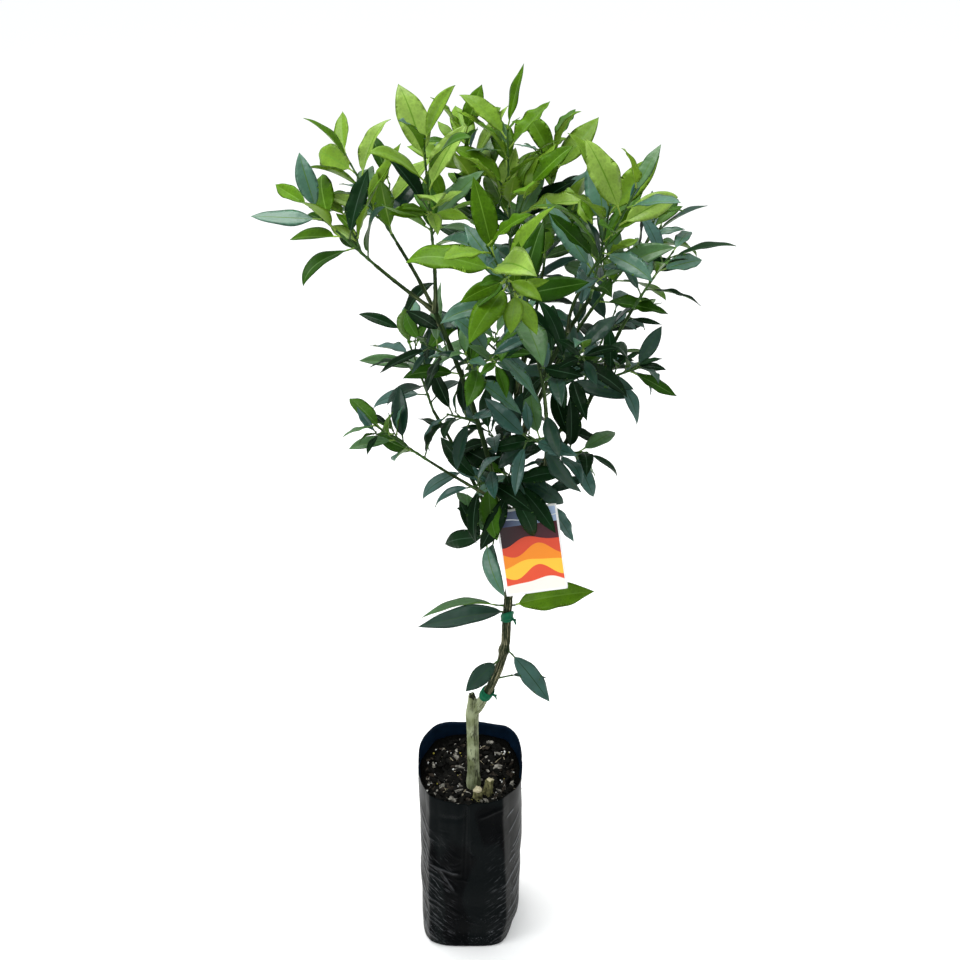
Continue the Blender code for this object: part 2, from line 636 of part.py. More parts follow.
def bag_ring(height, inset, slope=0.0):
    """Points round the bag at a height, inset from its outside, with the rim's slope where asked."""
    up = min(height / BAG_SHOULDER, 1.0)
    share = mixed((BAG_FOOT_SHARE, 1.0), up)
    squareness = mixed(BAG_SQUARENESS, up)
    tuck = 1 - TUCK_SHARE * max(0.0, 1 - height / TUCK_HEIGHT)
    points = []
    for step in range(BAG_SIDES):
        turn = math.tau * (step + 0.5) / BAG_SIDES
        x = superellipse(math.cos(turn), squareness) * (BAG_HALF_WIDTH * share - inset)
        y = superellipse(math.sin(turn), squareness) * (BAG_HALF_DEPTH * share - inset)
        lift = slope * (BAG_BACK_RIM - BAG_FRONT_RIM) * (1 + y / BAG_HALF_DEPTH) / 2
        points.append(Vector((x * tuck if x > 0 else x, y, height + lift)))
    return points


def stacked(rings):
    """Vertices and faces of a stack of rings of points."""
    sides = len(rings[0])
    numbers = [[ring * sides + corner for corner in range(sides)] for ring in range(len(rings))]
    return [point for ring in rings for point in ring], ring_faces(numbers)


def add_bag():
    outside = [bag_ring(0, BAG_HEM_ROUNDING)]
    outside += [bag_ring(level, 0) for level in BAG_LEVELS]
    outside.append(bag_ring(BAG_FRONT_RIM, 0, 1))
    inside = [bag_ring(BAG_FRONT_RIM, BAG_WALL, 1)]
    inside += [bag_ring(level, BAG_WALL) for level in reversed(BAG_LEVELS)]
    inside.append(bag_ring(BAG_WALL, BAG_WALL + BAG_HEM_ROUNDING))
    add_object("planter_bag", stacked(outside + inside), FILM)


def soil_surface_ring(share, chance):
    """A ring of the lumpy surface, part of the way from the bag to the level patch round the trunk."""
    rim = bag_ring(SOIL_TOP, BAG_WALL + SOIL_GAP)
    points = []
    for step, edge in enumerate(rim):
        turn = math.tau * (step + 0.5) / BAG_SIDES
        patch = Vector((*TRUNK_FOOT, SOIL_TOP)) + Vector((math.cos(turn), math.sin(turn), 0)) * TRUNK_PATCH
        lump = chance.uniform(*LUMP_SHARES) * SOIL_LUMPS * math.sin(math.pi * min(share * LUMPS_END, 1))
        rise = SOIL_REAR_RISE * (1 - share) * max(0, edge.y / BAG_HALF_DEPTH)
        points.append(edge.lerp(patch, share) + Vector((0, 0, lump + rise)))
    return points


def add_soil():
    chance = random.Random("soil")
    inset = BAG_WALL + SOIL_GAP
    rings = [bag_ring(BAG_WALL + GAP, inset + BAG_HEM_ROUNDING)]
    rings += [bag_ring(level, inset) for level in BAG_LEVELS]
    rings += [soil_surface_ring(step / SOIL_RINGS, chance) for step in range(SOIL_RINGS + 1)]
    add_object("potting_mix", stacked(rings), SOIL)


def main():
    clear_scene()
    lines = {}
    for name in LIMBS:
        lines[name] = limb_line(name, lines)
    add_trunk(lines)
    add_limbs(lines)
    add_masses(lines)
    add_label(lines)
    for name in TIES:
        add_tie(name, lines)
    add_bag()
    add_soil()
    shade_smooth()


main()
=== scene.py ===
# %% [markdown]
# # A grafted citrus sapling in a planter bag
# The subject is a nursery plant about 1.25 m tall. A rootstock stands in a black film bag of
# potting mix, and a scion grafted near its top carries four main stems of glossy leaves. A picture
# label leans on the stem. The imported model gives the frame: every piece below is built in its
# metres, so nothing has to be fitted later.

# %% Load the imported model
import json
import random
from collections import namedtuple
from math import asin, atan2, copysign, cos, degrees, exp, hypot, pi, radians, sin, tau

import bpy
import numpy as np
from mathutils import Matrix, Vector, noise
from mathutils.bvhtree import BVHTree
from mathutils.kdtree import KDTree

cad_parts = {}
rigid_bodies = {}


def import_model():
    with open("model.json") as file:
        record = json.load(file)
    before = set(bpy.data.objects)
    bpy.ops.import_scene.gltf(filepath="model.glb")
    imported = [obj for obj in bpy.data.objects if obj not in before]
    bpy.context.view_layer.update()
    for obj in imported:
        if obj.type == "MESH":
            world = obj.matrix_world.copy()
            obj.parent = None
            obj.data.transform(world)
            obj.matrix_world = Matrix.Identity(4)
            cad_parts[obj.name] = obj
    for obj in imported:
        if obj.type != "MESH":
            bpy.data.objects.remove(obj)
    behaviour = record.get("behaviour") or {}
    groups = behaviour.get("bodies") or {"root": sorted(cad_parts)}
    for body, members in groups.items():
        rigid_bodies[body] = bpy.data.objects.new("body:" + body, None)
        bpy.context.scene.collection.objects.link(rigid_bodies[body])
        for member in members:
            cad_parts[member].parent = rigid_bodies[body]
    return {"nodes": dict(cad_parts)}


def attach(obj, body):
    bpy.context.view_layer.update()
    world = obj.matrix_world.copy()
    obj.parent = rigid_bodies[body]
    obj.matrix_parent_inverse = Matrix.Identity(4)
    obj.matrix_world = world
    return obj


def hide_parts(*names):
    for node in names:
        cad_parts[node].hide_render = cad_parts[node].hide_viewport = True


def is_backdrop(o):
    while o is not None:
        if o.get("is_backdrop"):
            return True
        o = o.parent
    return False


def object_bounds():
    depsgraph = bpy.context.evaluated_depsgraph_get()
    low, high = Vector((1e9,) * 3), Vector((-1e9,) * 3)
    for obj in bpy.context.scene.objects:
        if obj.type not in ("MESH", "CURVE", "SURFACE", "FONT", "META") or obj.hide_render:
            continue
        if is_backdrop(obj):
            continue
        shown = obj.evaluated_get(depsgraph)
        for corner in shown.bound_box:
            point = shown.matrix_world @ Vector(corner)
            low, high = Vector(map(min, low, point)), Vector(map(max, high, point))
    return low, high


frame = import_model()
packed_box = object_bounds()
print(len(frame["nodes"]), "nodes, tallest point", round(packed_box[1].z, 3), "m")

# %% [markdown]
# ## Camera, floor and light
# The plant stands below a standing adult's eyes, so the lens looks down on the bag. The camera
# comes first because every later choice of detail depends on how large a thing looks from there. A
# plain pale floor, a large soft lamp overhead and a bright sky give the even light of an open shade
# house. One sun lamp would be simpler, but its hard shadows would hide the leaves, so two weaker
# soft lamps at the sides shape them instead.

# %% Camera
def put(name, data):
    """A new object in the scene that shows the data."""
    made = bpy.data.objects.new(name, data)
    bpy.context.scene.collection.objects.link(made)
    return made


CAMERA_PLACE = (0.0135, -1.20, 1.50)
CAMERA_TILT = 58.5  # degrees up from straight down
LENS = 44.5  # mm on the default 36 mm sensor

camera_data = bpy.data.cameras.new("camera")
camera_data.lens = LENS
camera = put("camera", camera_data)
camera.location = CAMERA_PLACE
camera.rotation_euler = (radians(CAMERA_TILT), 0, 0)
bpy.context.scene.camera = camera
print("camera", round(camera.location.length, 2), "m from the foot of the bag")

# %% Lamps and sky
Lamp = namedtuple("Lamp", "place aim size watts colour")
LAMPS = {
    "overhead": Lamp((-0.4, 0.5, 3.2), (0, 0, 0.8), 1.6, 60, (1.0, 0.99, 0.97)),
    "window": Lamp((-2.4, -1.2, 2.2), (0, 0, 0.8), 1.4, 36, (0.95, 0.98, 1.0)),
    "right_wall": Lamp((2.6, -0.4, 1.2), (0, 0, 0.6), 1.2, 10, (0.97, 0.99, 1.0)),
}
SKY_COLOUR = (0.97, 0.985, 1.0)
SKY_AT_HORIZON = 0.34
SKY_OVERHEAD = 1.45


def hang_lamp(name, lamp):
    """A square soft lamp that faces the point it is aimed at."""
    data = bpy.data.lights.new(name, "AREA")
    data.size = lamp.size
    data.energy = lamp.watts
    data.color = lamp.colour
    made = put(name, data)
    made.location = lamp.place
    aim = Vector(lamp.aim) - Vector(lamp.place)
    made.rotation_euler = aim.to_track_quat("-Z", "Y").to_euler()


for name, lamp in LAMPS.items():
    hang_lamp(name, lamp)
bpy.context.scene.view_settings.view_transform = "Standard"
print(len(LAMPS), "lamps")

# %% [markdown]
# ## Writing shaders as sums
# A real surface changes over its whole face, so every finish here is a pattern. Node trees grow
# hard to read when each Math node is made by hand. A small class that wraps a socket lets a pattern
# be written the way one would say it, such as `dark + (1 - dark) * mottle`. Every other kind of
# node comes from its one method `node`, by the end of its type's name, such as `TexNoise`.


# %% A socket that can be added and multiplied
class Wire:
    """One output of a node. Sums with it add Math nodes to the same tree."""

    def __init__(self, tree, socket=None):
        self.tree = tree
        self.socket = socket

    def node(self, kind, settings=None, sockets=None, out=0):
        """Add a node by its short type, with its settings and its sockets' values or links."""
        made = self.tree.nodes.new("ShaderNode" + kind)
        for name, value in (settings or {}).items():
            setattr(made, name, value)
        for name, value in (sockets or {}).items():
            if isinstance(value, Wire):
                self.tree.links.new(value.socket, made.inputs[name])
            else:
                made.inputs[name].default_value = value
        return Wire(self.tree, made.outputs[out])

    def math(self, operation, *values):
        return self.node("Math", {"operation": operation}, dict(enumerate(values)))

    def __add__(self, other):
        return self.math("ADD", self, other)

    def __sub__(self, other):
        return self.math("SUBTRACT", self, other)

    def __rsub__(self, other):
        return self.math("SUBTRACT", other, self)

    def __mul__(self, other):
        return self.math("MULTIPLY", self, other)

    def __gt__(self, other):
        return self.math("GREATER_THAN", self, other)

    def __lt__(self, other):
        return self.math("LESS_THAN", self, other)

    __radd__ = __add__
    __rmul__ = __mul__


print("sockets can be added, subtracted, multiplied and compared")

# %% Colours, noise and marks
def linear(part):
    """The light that one part of a web colour stands for."""
    return part / 12.92 if part <= 0.04045 else ((part + 0.055) / 1.055) ** 2.4


def tint(code):
    """Linear red, green, blue and alpha of a web colour code."""
    return (*[linear(int(code[place : place + 2], 16) / 255) for place in (0, 2, 4)], 1.0)


def between(share, low, high):
    """A colour that goes from low to high as the share goes from 0 to 1."""
    return share.node("Mix", {"data_type": "RGBA"}, {0: share, 6: low, 7: high}, out=2)


def grain(start, scale, stretch=(1, 1, 1), detail=3.0):
    """Noise from 0 to 1 in the object's own metres."""
    place = start.node("TexCoord", out="Object")
    place = start.node("VectorMath", {"operation": "MULTIPLY"}, {0: place, 1: stretch})
    return start.node("TexNoise", None, {"Vector": place, "Scale": scale, "Detail": detail})


def ramped(value, low, high):
    """0 where the value is below low, 1 above high, and even between."""
    return value.node("MapRange", None, {"Value": value, "From Min": low, "From Max": high})


def marked(start, name):
    """A number that the mesh carries at each of its points."""
    return start.node("Attribute", {"attribute_name": name}, out="Fac")


def bumped(height, strength, distance):
    return height.node("Bump", None, {"Height": height, "Strength": strength, "Distance": distance})


print("half of full brightness on screen is", round(linear(0.5), 3), "of its light")

# %% Finishes
def finish(name, paint, shine=0.5, **plain):
    """A material: `paint` gives what changes over it, `shine` and `plain` what stays the same."""
    made = bpy.data.materials.new(name)
    made.use_nodes = True
    tree = made.node_tree
    shader = tree.nodes["Principled BSDF"]
    shader.inputs["Specular IOR Level"].default_value = shine
    for socket, value in plain.items():
        shader.inputs[socket.replace("_", " ")].default_value = value
    for socket, value in paint(Wire(tree)).items():
        if isinstance(value, Wire):
            tree.links.new(value.socket, shader.inputs[socket])
        else:
            shader.inputs[socket].default_value = value
    return made


def darker(colour, share):
    return (*[part * share for part in colour[:3]], 1.0)


def grained(
    dark, light, scale, stretch=(1, 1, 1), detail=3.0, ramp=None, rough=(0.8, 0), bump=None
):
    """A finish ruled by one noise: its two colours, its roughness (least, rise) and its bump."""

    def paint(start):
        pattern = grain(start, scale, stretch, detail)
        share = ramped(pattern, *ramp) if ramp else pattern
        made = {"Base Color": between(share, tint(dark), tint(light)), "Roughness": rough[0]}
        if rough[1]:
            made["Roughness"] = rough[0] + pattern * rough[1]
        if bump:
            made["Normal"] = bumped(pattern, *bump)
        return made

    return paint


print("shader words ready")

# %% Sky
sky = bpy.data.worlds.new("sky")
sky.use_nodes = True
start = Wire(sky.node_tree)
above = start.node("SeparateXYZ", None, {0: start.node("TexCoord", out="Generated")}, out="Z")
background = sky.node_tree.nodes["Background"]
background.inputs["Color"].default_value = (*SKY_COLOUR, 1)
strength = ramped(above, 0, 1) * (SKY_OVERHEAD - SKY_AT_HORIZON) + SKY_AT_HORIZON
sky.node_tree.links.new(strength.socket, background.inputs["Strength"])
bpy.context.scene.world = sky
print("the sky is", round(SKY_OVERHEAD / SKY_AT_HORIZON, 1), "times as bright overhead as low down")

# %% Floor
FLOOR_SIZE = 30.0

floor_mesh = bpy.data.meshes.new("floor")
half = FLOOR_SIZE / 2
floor_corners = [(-half, -half, 0), (half, -half, 0), (half, half, 0), (-half, half, 0)]
floor_mesh.from_pydata(floor_corners, [], [(0, 1, 2, 3)])
floor_paint = grained("F7F7F6", "FAFAF9", 30.0, rough=(0.9, 0))
floor_mesh.materials.append(finish("floor_paper", floor_paint))
put("floor", floor_mesh)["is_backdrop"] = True
print("floor", FLOOR_SIZE, "m across")

# %% [markdown]
# ## Gathering shapes
# A plant is thousands of small closed shapes. Making an object for each would be slow, so a pile
# collects points and faces and becomes one mesh at the end. Each face keeps the number of its
# material, and each point can carry marks, such as how deep it lies in a crack, which the material
# reads.


# %% A pile of shapes
class Pile:
    def __init__(self):
        self.points = []
        self.faces = []
        self.looks = []
        self.marks = {}
        self.count = 0

    def add(self, points, faces, looks=0, **marks):
        """Add a shape. `looks` is one material number, or one for each face."""
        points = np.asarray(points, float).reshape(-1, 3)
        self.points.append(points)
        self.faces += [tuple(corner + self.count for corner in face) for face in faces]
        self.looks += [looks] * len(faces) if isinstance(looks, int) else list(looks)
        for name, values in marks.items():
            self.marks.setdefault(name, []).append(np.broadcast_to(values, len(points)))
        self.count += len(points)

    def mesh(self, name):
        made = bpy.data.meshes.new(name)
        made.from_pydata(np.concatenate(self.points).tolist(), [], self.faces)
        return made

    def piece(self, name, finishes, slot, replaced=(), smooth=True):
        """The whole pile as one object that rides on the plant."""
        mesh = self.mesh(name)
        mesh.polygons.foreach_set("material_index", self.looks)
        mesh.polygons.foreach_set("use_smooth", [smooth] * len(self.faces))
        for mark, values in self.marks.items():
            layer = mesh.attributes.new(mark, "FLOAT", "POINT")
            layer.data.foreach_set("value", np.concatenate(values).astype(np.float32))
        for each in finishes:
            mesh.materials.append(each)
        made = put(name, mesh)
        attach(made, "root")
        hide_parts(*replaced)
        mesh.calc_loop_triangles()
        print(name, "has", len(mesh.loop_triangles), "triangles")
        return made


print("a new pile holds", Pile().count, "points")

# %% [markdown]
# ## The rule of growth
# A limb is a walk. It leaves its parent at a share of the parent's length with a heading, and its
# heading turns evenly as it goes. The same few numbers made the solids, so these limbs run through
# them.

# %% Limbs as named numbers
Limb = namedtuple("Limb", "parent along azimuth rise length curl sway foot tip")
# parent, share along it, azimuth, rise, length, curl, sway, radius at the foot and at the tip
LIMBS = {
    "rootstock": (None, 0.0, 130, 88.5, 0.168, 1, 0, 0.0086, 0.0072),
    "bow": ("rootstock", 0.80, -7, 59, 0.134, 24, 4, 0.0062, 0.0060),
    "leader": ("bow", 1.0, 17, 89, 0.272, -11, 74, 0.0062, 0.0044),
    "left_stem": ("leader", 0.25, -113, 84, 0.418, -15, -67, 0.0036, 0.0027),
    "right_bough": ("leader", 0.70, -8, 57, 0.199, 6, 42, 0.0034, 0.0026),
    "centre_bough": ("leader", 1.0, 98, 68, 0.215, 6, 1, 0.0034, 0.0023),
    "front_right_bough": ("leader", 1.0, -70, 69, 0.255, -11, 30, 0.0032, 0.0022),
    "far_right_bough": ("leader", 1.0, 32, 68, 0.185, -17, -7, 0.0032, 0.0022),
    "far_left_bough": ("left_stem", 1.0, 177, 37, 0.078, 1, -11, 0.0024, 0.0019),
    "upright_left_bough": ("left_stem", 1.0, -79, 73, 0.070, 3, -18, 0.0024, 0.0019),
    "back_left_bough": ("left_stem", 0.96, 124, 45, 0.100, 0, 15, 0.0023, 0.0018),
    "low_left_bough": ("left_stem", 0.38, -153, 40, 0.112, 3, -4, 0.0021, 0.0016),
    "right_tip_bough": ("right_bough", 1.0, 14, 75, 0.085, -17, 7, 0.0024, 0.0018),
    "front_bough": ("right_bough", 0.32, -89, 67, 0.290, -11, -28, 0.0027, 0.0018),
    "top_back_bough": ("centre_bough", 0.60, 117, 58, 0.090, 4, 4, 0.0021, 0.0017),
    "top_right_bough": ("centre_bough", 0.30, 62, 54, 0.150, 14, 5, 0.0022, 0.0016),
    "high_right_bough": ("front_right_bough", 0.80, -101, 52, 0.085, 8, 45, 0.0020, 0.0016),
    "rear_left_bough": ("leader", 0.45, 142, 60, 0.210, -6, 8, 0.0028, 0.0018),
    "rear_bough": ("leader", 0.86, 88, 56, 0.190, -4, -6, 0.0027, 0.0018),
    "rear_right_bough": ("leader", 0.67, 40, 55, 0.170, -6, 6, 0.0027, 0.0018),
}
LIMBS = {name: Limb(*row) for name, row in LIMBS.items()}

print(len(LIMBS), "limbs named")

# %% Shoots as named numbers
Mass = namedtuple(
    "Mass", "parent along azimuth rise length curl leaves leaf spread droop twigs tone seed"
)
# parent, share along it, azimuth, rise, length, curl, then the number of leaves, their length,
# spread and droop, the number of side twigs, the tone and the seed
MASSES = {
    "far_left_leaves": ("far_left_bough", 1.0, 168, 40, 0.085, 2, 10, 0.074, 50, 14, 1, "young", 58),
    "upright_left_leaves": ("upright_left_bough", 1, -104, 76, 0.120, 4, 12, 0.078, 42, 12, 0, "young", 41),
    "back_left_leaves": ("back_left_bough", 1.0, 142, 48, 0.105, 4, 10, 0.078, 46, 14, 1, "young", 15),
    "low_left_leaves": ("low_left_bough", 1.0, -157, 43, 0.085, 2, 8, 0.058, 48, 10, 0, "mid", 22),
    "left_middle_leaves": ("left_stem", 0.86, -175, 30, 0.040, 0, 6, 0.066, 66, 22, 0, "mature", 52),
    "left_inner_leaves": ("left_stem", 0.66, -170, 20, 0.034, 0, 6, 0.062, 66, 28, 0, "mature", 47),
    "left_high_leaves": ("left_stem", 0.80, -40, 42, 0.085, 4, 8, 0.072, 60, 24, 0, "mid", 34),
    "left_low_leaves": ("left_stem", 0.46, -130, 10, 0.034, 0, 6, 0.072, 70, 34, 0, "mature", 37),
    "left_lowest_leaves": ("left_stem", 0.26, -140, 5, 0.030, 0, 6, 0.072, 70, 40, 0, "mature", 63),
    "label_leaves": ("leader", 0.90, -100, 10, 0.064, 0, 7, 0.078, 74, 52, 0, "mature", 10),
    "right_low_leaves": ("right_bough", 0.48, -25, 15, 0.034, 0, 6, 0.068, 62, 30, 0, "mature", 60),
    "right_lowest_leaves": ("right_bough", 0.22, -70, 0, 0.036, 0, 5, 0.060, 66, 34, 0, "mature", 27),
    "right_middle_leaves": ("right_bough", 0.97, -15, 24, 0.050, 4, 8, 0.068, 60, 26, 0, "mature", 32),
    "right_tip_leaves": ("right_tip_bough", 1.0, 20, 58, 0.075, -8, 9, 0.070, 54, 22, 0, "mid", 8),
    "front_leaves": ("front_bough", 1.0, -120, 55, 0.125, -4, 12, 0.082, 50, 18, 0, "young", 23),
    "front_middle_leaves": ("front_bough", 0.62, -20, 45, 0.060, 0, 7, 0.072, 60, 26, 0, "mature", 60),
    "front_low_leaves": ("front_bough", 0.25, -125, 20, 0.045, 0, 6, 0.070, 66, 34, 0, "mature", 21),
    "centre_leaves": ("centre_bough", 1.0, 99, 75, 0.145, 4, 14, 0.080, 44, 12, 1, "young", 34),
    "centre_middle_leaves": ("centre_bough", 0.45, -165, 45, 0.085, 4, 9, 0.074, 58, 24, 0, "mid", 2),
    "top_back_leaves": ("top_back_bough", 1.0, 128, 66, 0.145, 4, 13, 0.076, 44, 12, 1, "young", 36),
    "top_right_leaves": ("top_right_bough", 1.0, 72, 72, 0.135, 6, 13, 0.076, 44, 12, 1, "young", 41),
    "front_right_leaves": ("front_right_bough", 1, -62, 74, 0.105, 4, 11, 0.088, 44, 12, 0, "young", 37),
    "high_right_leaves": ("high_right_bough", 1.0, -42, 60, 0.120, 6, 11, 0.074, 48, 16, 0, "young", 54),
    "far_right_leaves": ("far_right_bough", 1.0, 25, 48, 0.118, -6, 12, 0.074, 50, 20, 1, "mid", 63),
    "inner_right_leaves": ("far_right_bough", 0.45, -50, 32, 0.065, 4, 8, 0.072, 60, 26, 0, "mature", 47),
    "rear_left_leaves": ("rear_left_bough", 1.0, 128, 58, 0.110, -2, 11, 0.074, 54, 22, 1, "mid", 29),
    "rear_leaves": ("rear_bough", 1.0, 82, 52, 0.120, -2, 12, 0.074, 54, 22, 1, "mid", 55),
    "rear_right_leaves": ("rear_right_bough", 1.0, 50, 52, 0.105, -2, 11, 0.074, 54, 22, 1, "mature", 19),
    "leader_leaves": ("leader", 0.96, -165, 45, 0.050, 0, 7, 0.070, 64, 30, 0, "mature", 43),
    "spur_left_leaves": ("leader", 0.21, -174, 8, 0.014, 0, 2, 0.104, 26, 12, 0, "mid", 125),
    "spur_right_leaves": ("leader", 0.21, -10, 14, 0.008, 0, 1, 0.116, 8, 8, 0, "young", 44),
    "lowest_right_leaves": ("bow", 0.93, -40, -22, 0.013, 0, 1, 0.094, 4, 40, 0, "mature", 86),
    "lower_right_leaves": ("bow", 0.52, 8, 8, 0.022, 0, 1, 0.064, 4, 34, 0, "mature", 91),
    "lowest_left_leaves": ("bow", 0.80, -138, -10, 0.010, 0, 1, 0.072, 4, 56, 0, "mature", 31),
}
MASSES = {name: Mass(*row) for name, row in MASSES.items()}
print(len(MASSES), "shoots named")

# %% Walking along a limb
GAP = 0.0003
SOIL_TOP = 0.271
TRUNK_FOOT = (0.005, -0.013)
TRUNK_PARTS = ("rootstock", "bow", "leader")
TRUNK_STEP = 0.022
LIMB_STEP = 0.03
FINE_STEP = 0.002


def heading(azimuth, rise):
    """A unit vector: azimuth in degrees anticlockwise from +X, rise in degrees above the level."""
    turn = radians(azimuth)
    lift = radians(rise)
    return Vector((cos(lift) * cos(turn), cos(lift) * sin(turn), sin(lift)))


def walk(start, azimuth, rise, length, curl, sway, steps):
    """Points of a line that starts with a heading and bends evenly."""
    points = [Vector(start)]
    for step in range(steps):
        share = (step + 0.5) / steps
        way = heading(azimuth + sway * share, rise + curl * share)
        points.append(points[-1] + way * length / steps)
    return points


def along(points, share):
    """The point at a share of an evenly stepped line, and the line's direction there."""
    place = min(max(share, 0.0), 1.0) * (len(points) - 1)
    index = min(int(place), len(points) - 2)
    direction = (points[index + 1] - points[index]).normalized()
    return points[index].lerp(points[index + 1], place - index), direction


def mixed(ends, share):
    return ends[0] + (ends[1] - ends[0]) * share


def limb_line(name):
    """The middle line of a limb, which starts on its parent's own line."""
    limb = LIMBS[name]
    if limb.parent:
        start = along(lines[limb.parent], limb.along)[0]
    else:
        start = Vector((*TRUNK_FOOT, SOIL_TOP + GAP))
    steps = max(3, round(limb.length / (TRUNK_STEP if name in TRUNK_PARTS else LIMB_STEP)))
    return walk(start, limb.azimuth, limb.rise, limb.length, limb.curl, limb.sway, steps)


lines = {}
for name in LIMBS:
    lines[name] = limb_line(name)
print("leader ends at", [round(value, 3) for value in lines["leader"][-1]])

# %% Finer lines
def smooth_line(points, step):
    """Points about a step apart on a smooth curve through the given ones."""
    knots = [points[0] * 2 - points[1], *points, points[-1] * 2 - points[-2]]
    smooth = []
    for a, b, c, d in zip(knots, knots[1:], knots[2:], knots[3:]):
        count = max(1, round((c - b).length / step))
        for number in range(count):
            t = number / count
            bend = (2 * a - 5 * b + 4 * c - d) * t * t + (3 * b - a - 3 * c + d) * t**3
            smooth.append(0.5 * (2 * b + (c - a) * t + bend))
    return [*smooth, points[-1].copy()]


def shares_of(line):
    """From 0 at a line's first point to 1 at its last."""
    return [index / (len(line) - 1) for index in range(len(line))]


def noise_at(x, y, z):
    return noise.noise(Vector((x, y, z)))


print("the leader has", len(smooth_line(lines["leader"], FINE_STEP)), "fine points")

# %% [markdown]
# ## Tubes
# A bevelled curve would give a limb in one call, but its section stays round and its ends stay open
# to view. Rings worked out in code can swell at a leaf's joint, ridge like bark and close at both
# ends.


# %% A tube whose radius may change with place and turn
def side_vector(direction):
    """A level vector square to the direction, whatever it is."""
    side = direction.cross(Vector((0, 0, 1)))
    return side.normalized() if side.length > 0.05 else Vector((1, 0, 0))


def outward(direction, turn):
    """A vector square to the direction, turned so far round it."""
    return Matrix.Rotation(turn, 3, direction) @ side_vector(direction)


def ring_faces(rings):
    """Faces between rings that turn anticlockwise seen from the last one, with both ends capped."""
    sides = len(rings[0])
    faces = [tuple(reversed(rings[0]))]
    for low, high in zip(rings, rings[1:]):
        for corner in range(sides):
            after = (corner + 1) % sides
            faces.append((low[corner], low[after], high[after], high[corner]))
    faces.append(tuple(rings[-1]))
    return faces


def numbered_rings(rings, sides):
    return [[ring * sides + corner for corner in range(sides)] for ring in range(rings)]


def line_frames(points):
    """At each point: the line's direction and two vectors square to it that don't spin."""
    frames = []
    side = side_vector(points[1] - points[0])
    for index in range(len(points)):
        before, after = points[max(index - 1, 0)], points[min(index + 1, len(points) - 1)]
        direction = (after - before).normalized()
        side = (side - direction * side.dot(direction)).normalized()
        frames.append((direction, side, direction.cross(side)))
    return frames


def tube(points, radii, sides, swell=None):
    """A closed tube. `swell(index, turn)` is added to the radius."""
    vertices = []
    for index, (point, (_, side, other)) in enumerate(zip(points, line_frames(points))):
        for corner in range(sides):
            turn = tau * corner / sides
            radius = radii[index] + (swell(index, turn) if swell else 0)
            vertices.append(point + (side * cos(turn) + other * sin(turn)) * radius)
    return vertices, ring_faces(numbered_rings(len(points), sides))


trial_line = [Vector((0, 0, height)) for height in range(3)]
print("a tube of 3 rings and 6 sides has", len(tube(trial_line, [1] * 3, 6)[1]), "faces")

# %% [markdown]
# ## The trunk
# The rootstock is pale and cracked, and it was cut off just above the graft, so a slanted stub is
# left. The scion bows out from under that cut and climbs as the leader. Three tubes melted together
# by a voxel remesh give the soft crotch that a live union has, which a Boolean's sharp seam
# doesn't. The bark's relief is then worked out for each point from its place along the limb and its
# turn round it, so ridges follow the bend of the stem.

# %% The trunk's outline
ROOTSTOCK_LENGTH = LIMBS["rootstock"].length
UNION_PLACE = 0.80  # share of the rootstock's length where the scion leaves it
KNOT_PLACE = 0.90  # share of the bow's length
Swelling = namedtuple("Swelling", "limb place rise reach")  # place in metres along the limb
SWELLINGS = {
    "flare": Swelling("rootstock", 0.008, 0.0105 - LIMBS["rootstock"].foot, 0.012),
    "union": Swelling("rootstock", UNION_PLACE * ROOTSTOCK_LENGTH, 0.0016, 0.016),
    "knot": Swelling("bow", KNOT_PLACE * LIMBS["bow"].length, 0.0019, 0.006),
    "heel": Swelling("bow", 0.014, 0.0015, 0.012),  # where the scion has grown over the cut
}
STUB_TAPER = 0.36  # of the radius, from the union to the stub's top
KNOT_BLOCK_RADIUS = 0.0078  # of the plain tube that leaves are tested against
CUT_SLANT = Vector((0.42, -0.22, 1.0))  # the cut face looks this way
TRUNK_SIDES = 20
TRUNK_VOXEL = 0.0008


def hump(distance, reach):
    """1 at no distance, falling smoothly to nothing over the reach."""
    return exp(-((distance / reach) ** 2))


def trunk_radius(name, share):
    limb = LIMBS[name]
    length = share * limb.length
    radius = mixed((limb.foot, limb.tip), share)
    for each in SWELLINGS.values():
        if each.limb == name:
            radius += each.rise * hump(length - each.place, each.reach)
    if name == "rootstock":
        radius *= 1 - STUB_TAPER * max(0, share - UNION_PLACE) / (1 - UNION_PLACE)
    return radius


def remeshed(tubes, voxel, smoothing):
    """One closed skin round a pile of tubes, with its corners softened."""
    skin = put("skin", tubes.mesh("skin"))
    melt = skin.modifiers.new("melt", "REMESH")
    melt.mode = "VOXEL"
    melt.voxel_size = voxel
    soften = skin.modifiers.new("soften", "SMOOTH")
    soften.iterations = smoothing
    graph = bpy.context.evaluated_depsgraph_get()
    made = bpy.data.meshes.new_from_object(skin.evaluated_get(graph))
    bpy.data.objects.remove(skin)
    return made


trunk_lines = {name: smooth_line(lines[name], FINE_STEP) for name in TRUNK_PARTS}
trunk_tubes = Pile()
for name, line in trunk_lines.items():
    radii = [trunk_radius(name, share) for share in shares_of(line)]
    trunk_tubes.add(*tube(line, radii, TRUNK_SIDES))
trunk_skin = remeshed(trunk_tubes, TRUNK_VOXEL, 6)
print("trunk skin has", len(trunk_skin.vertices), "points")

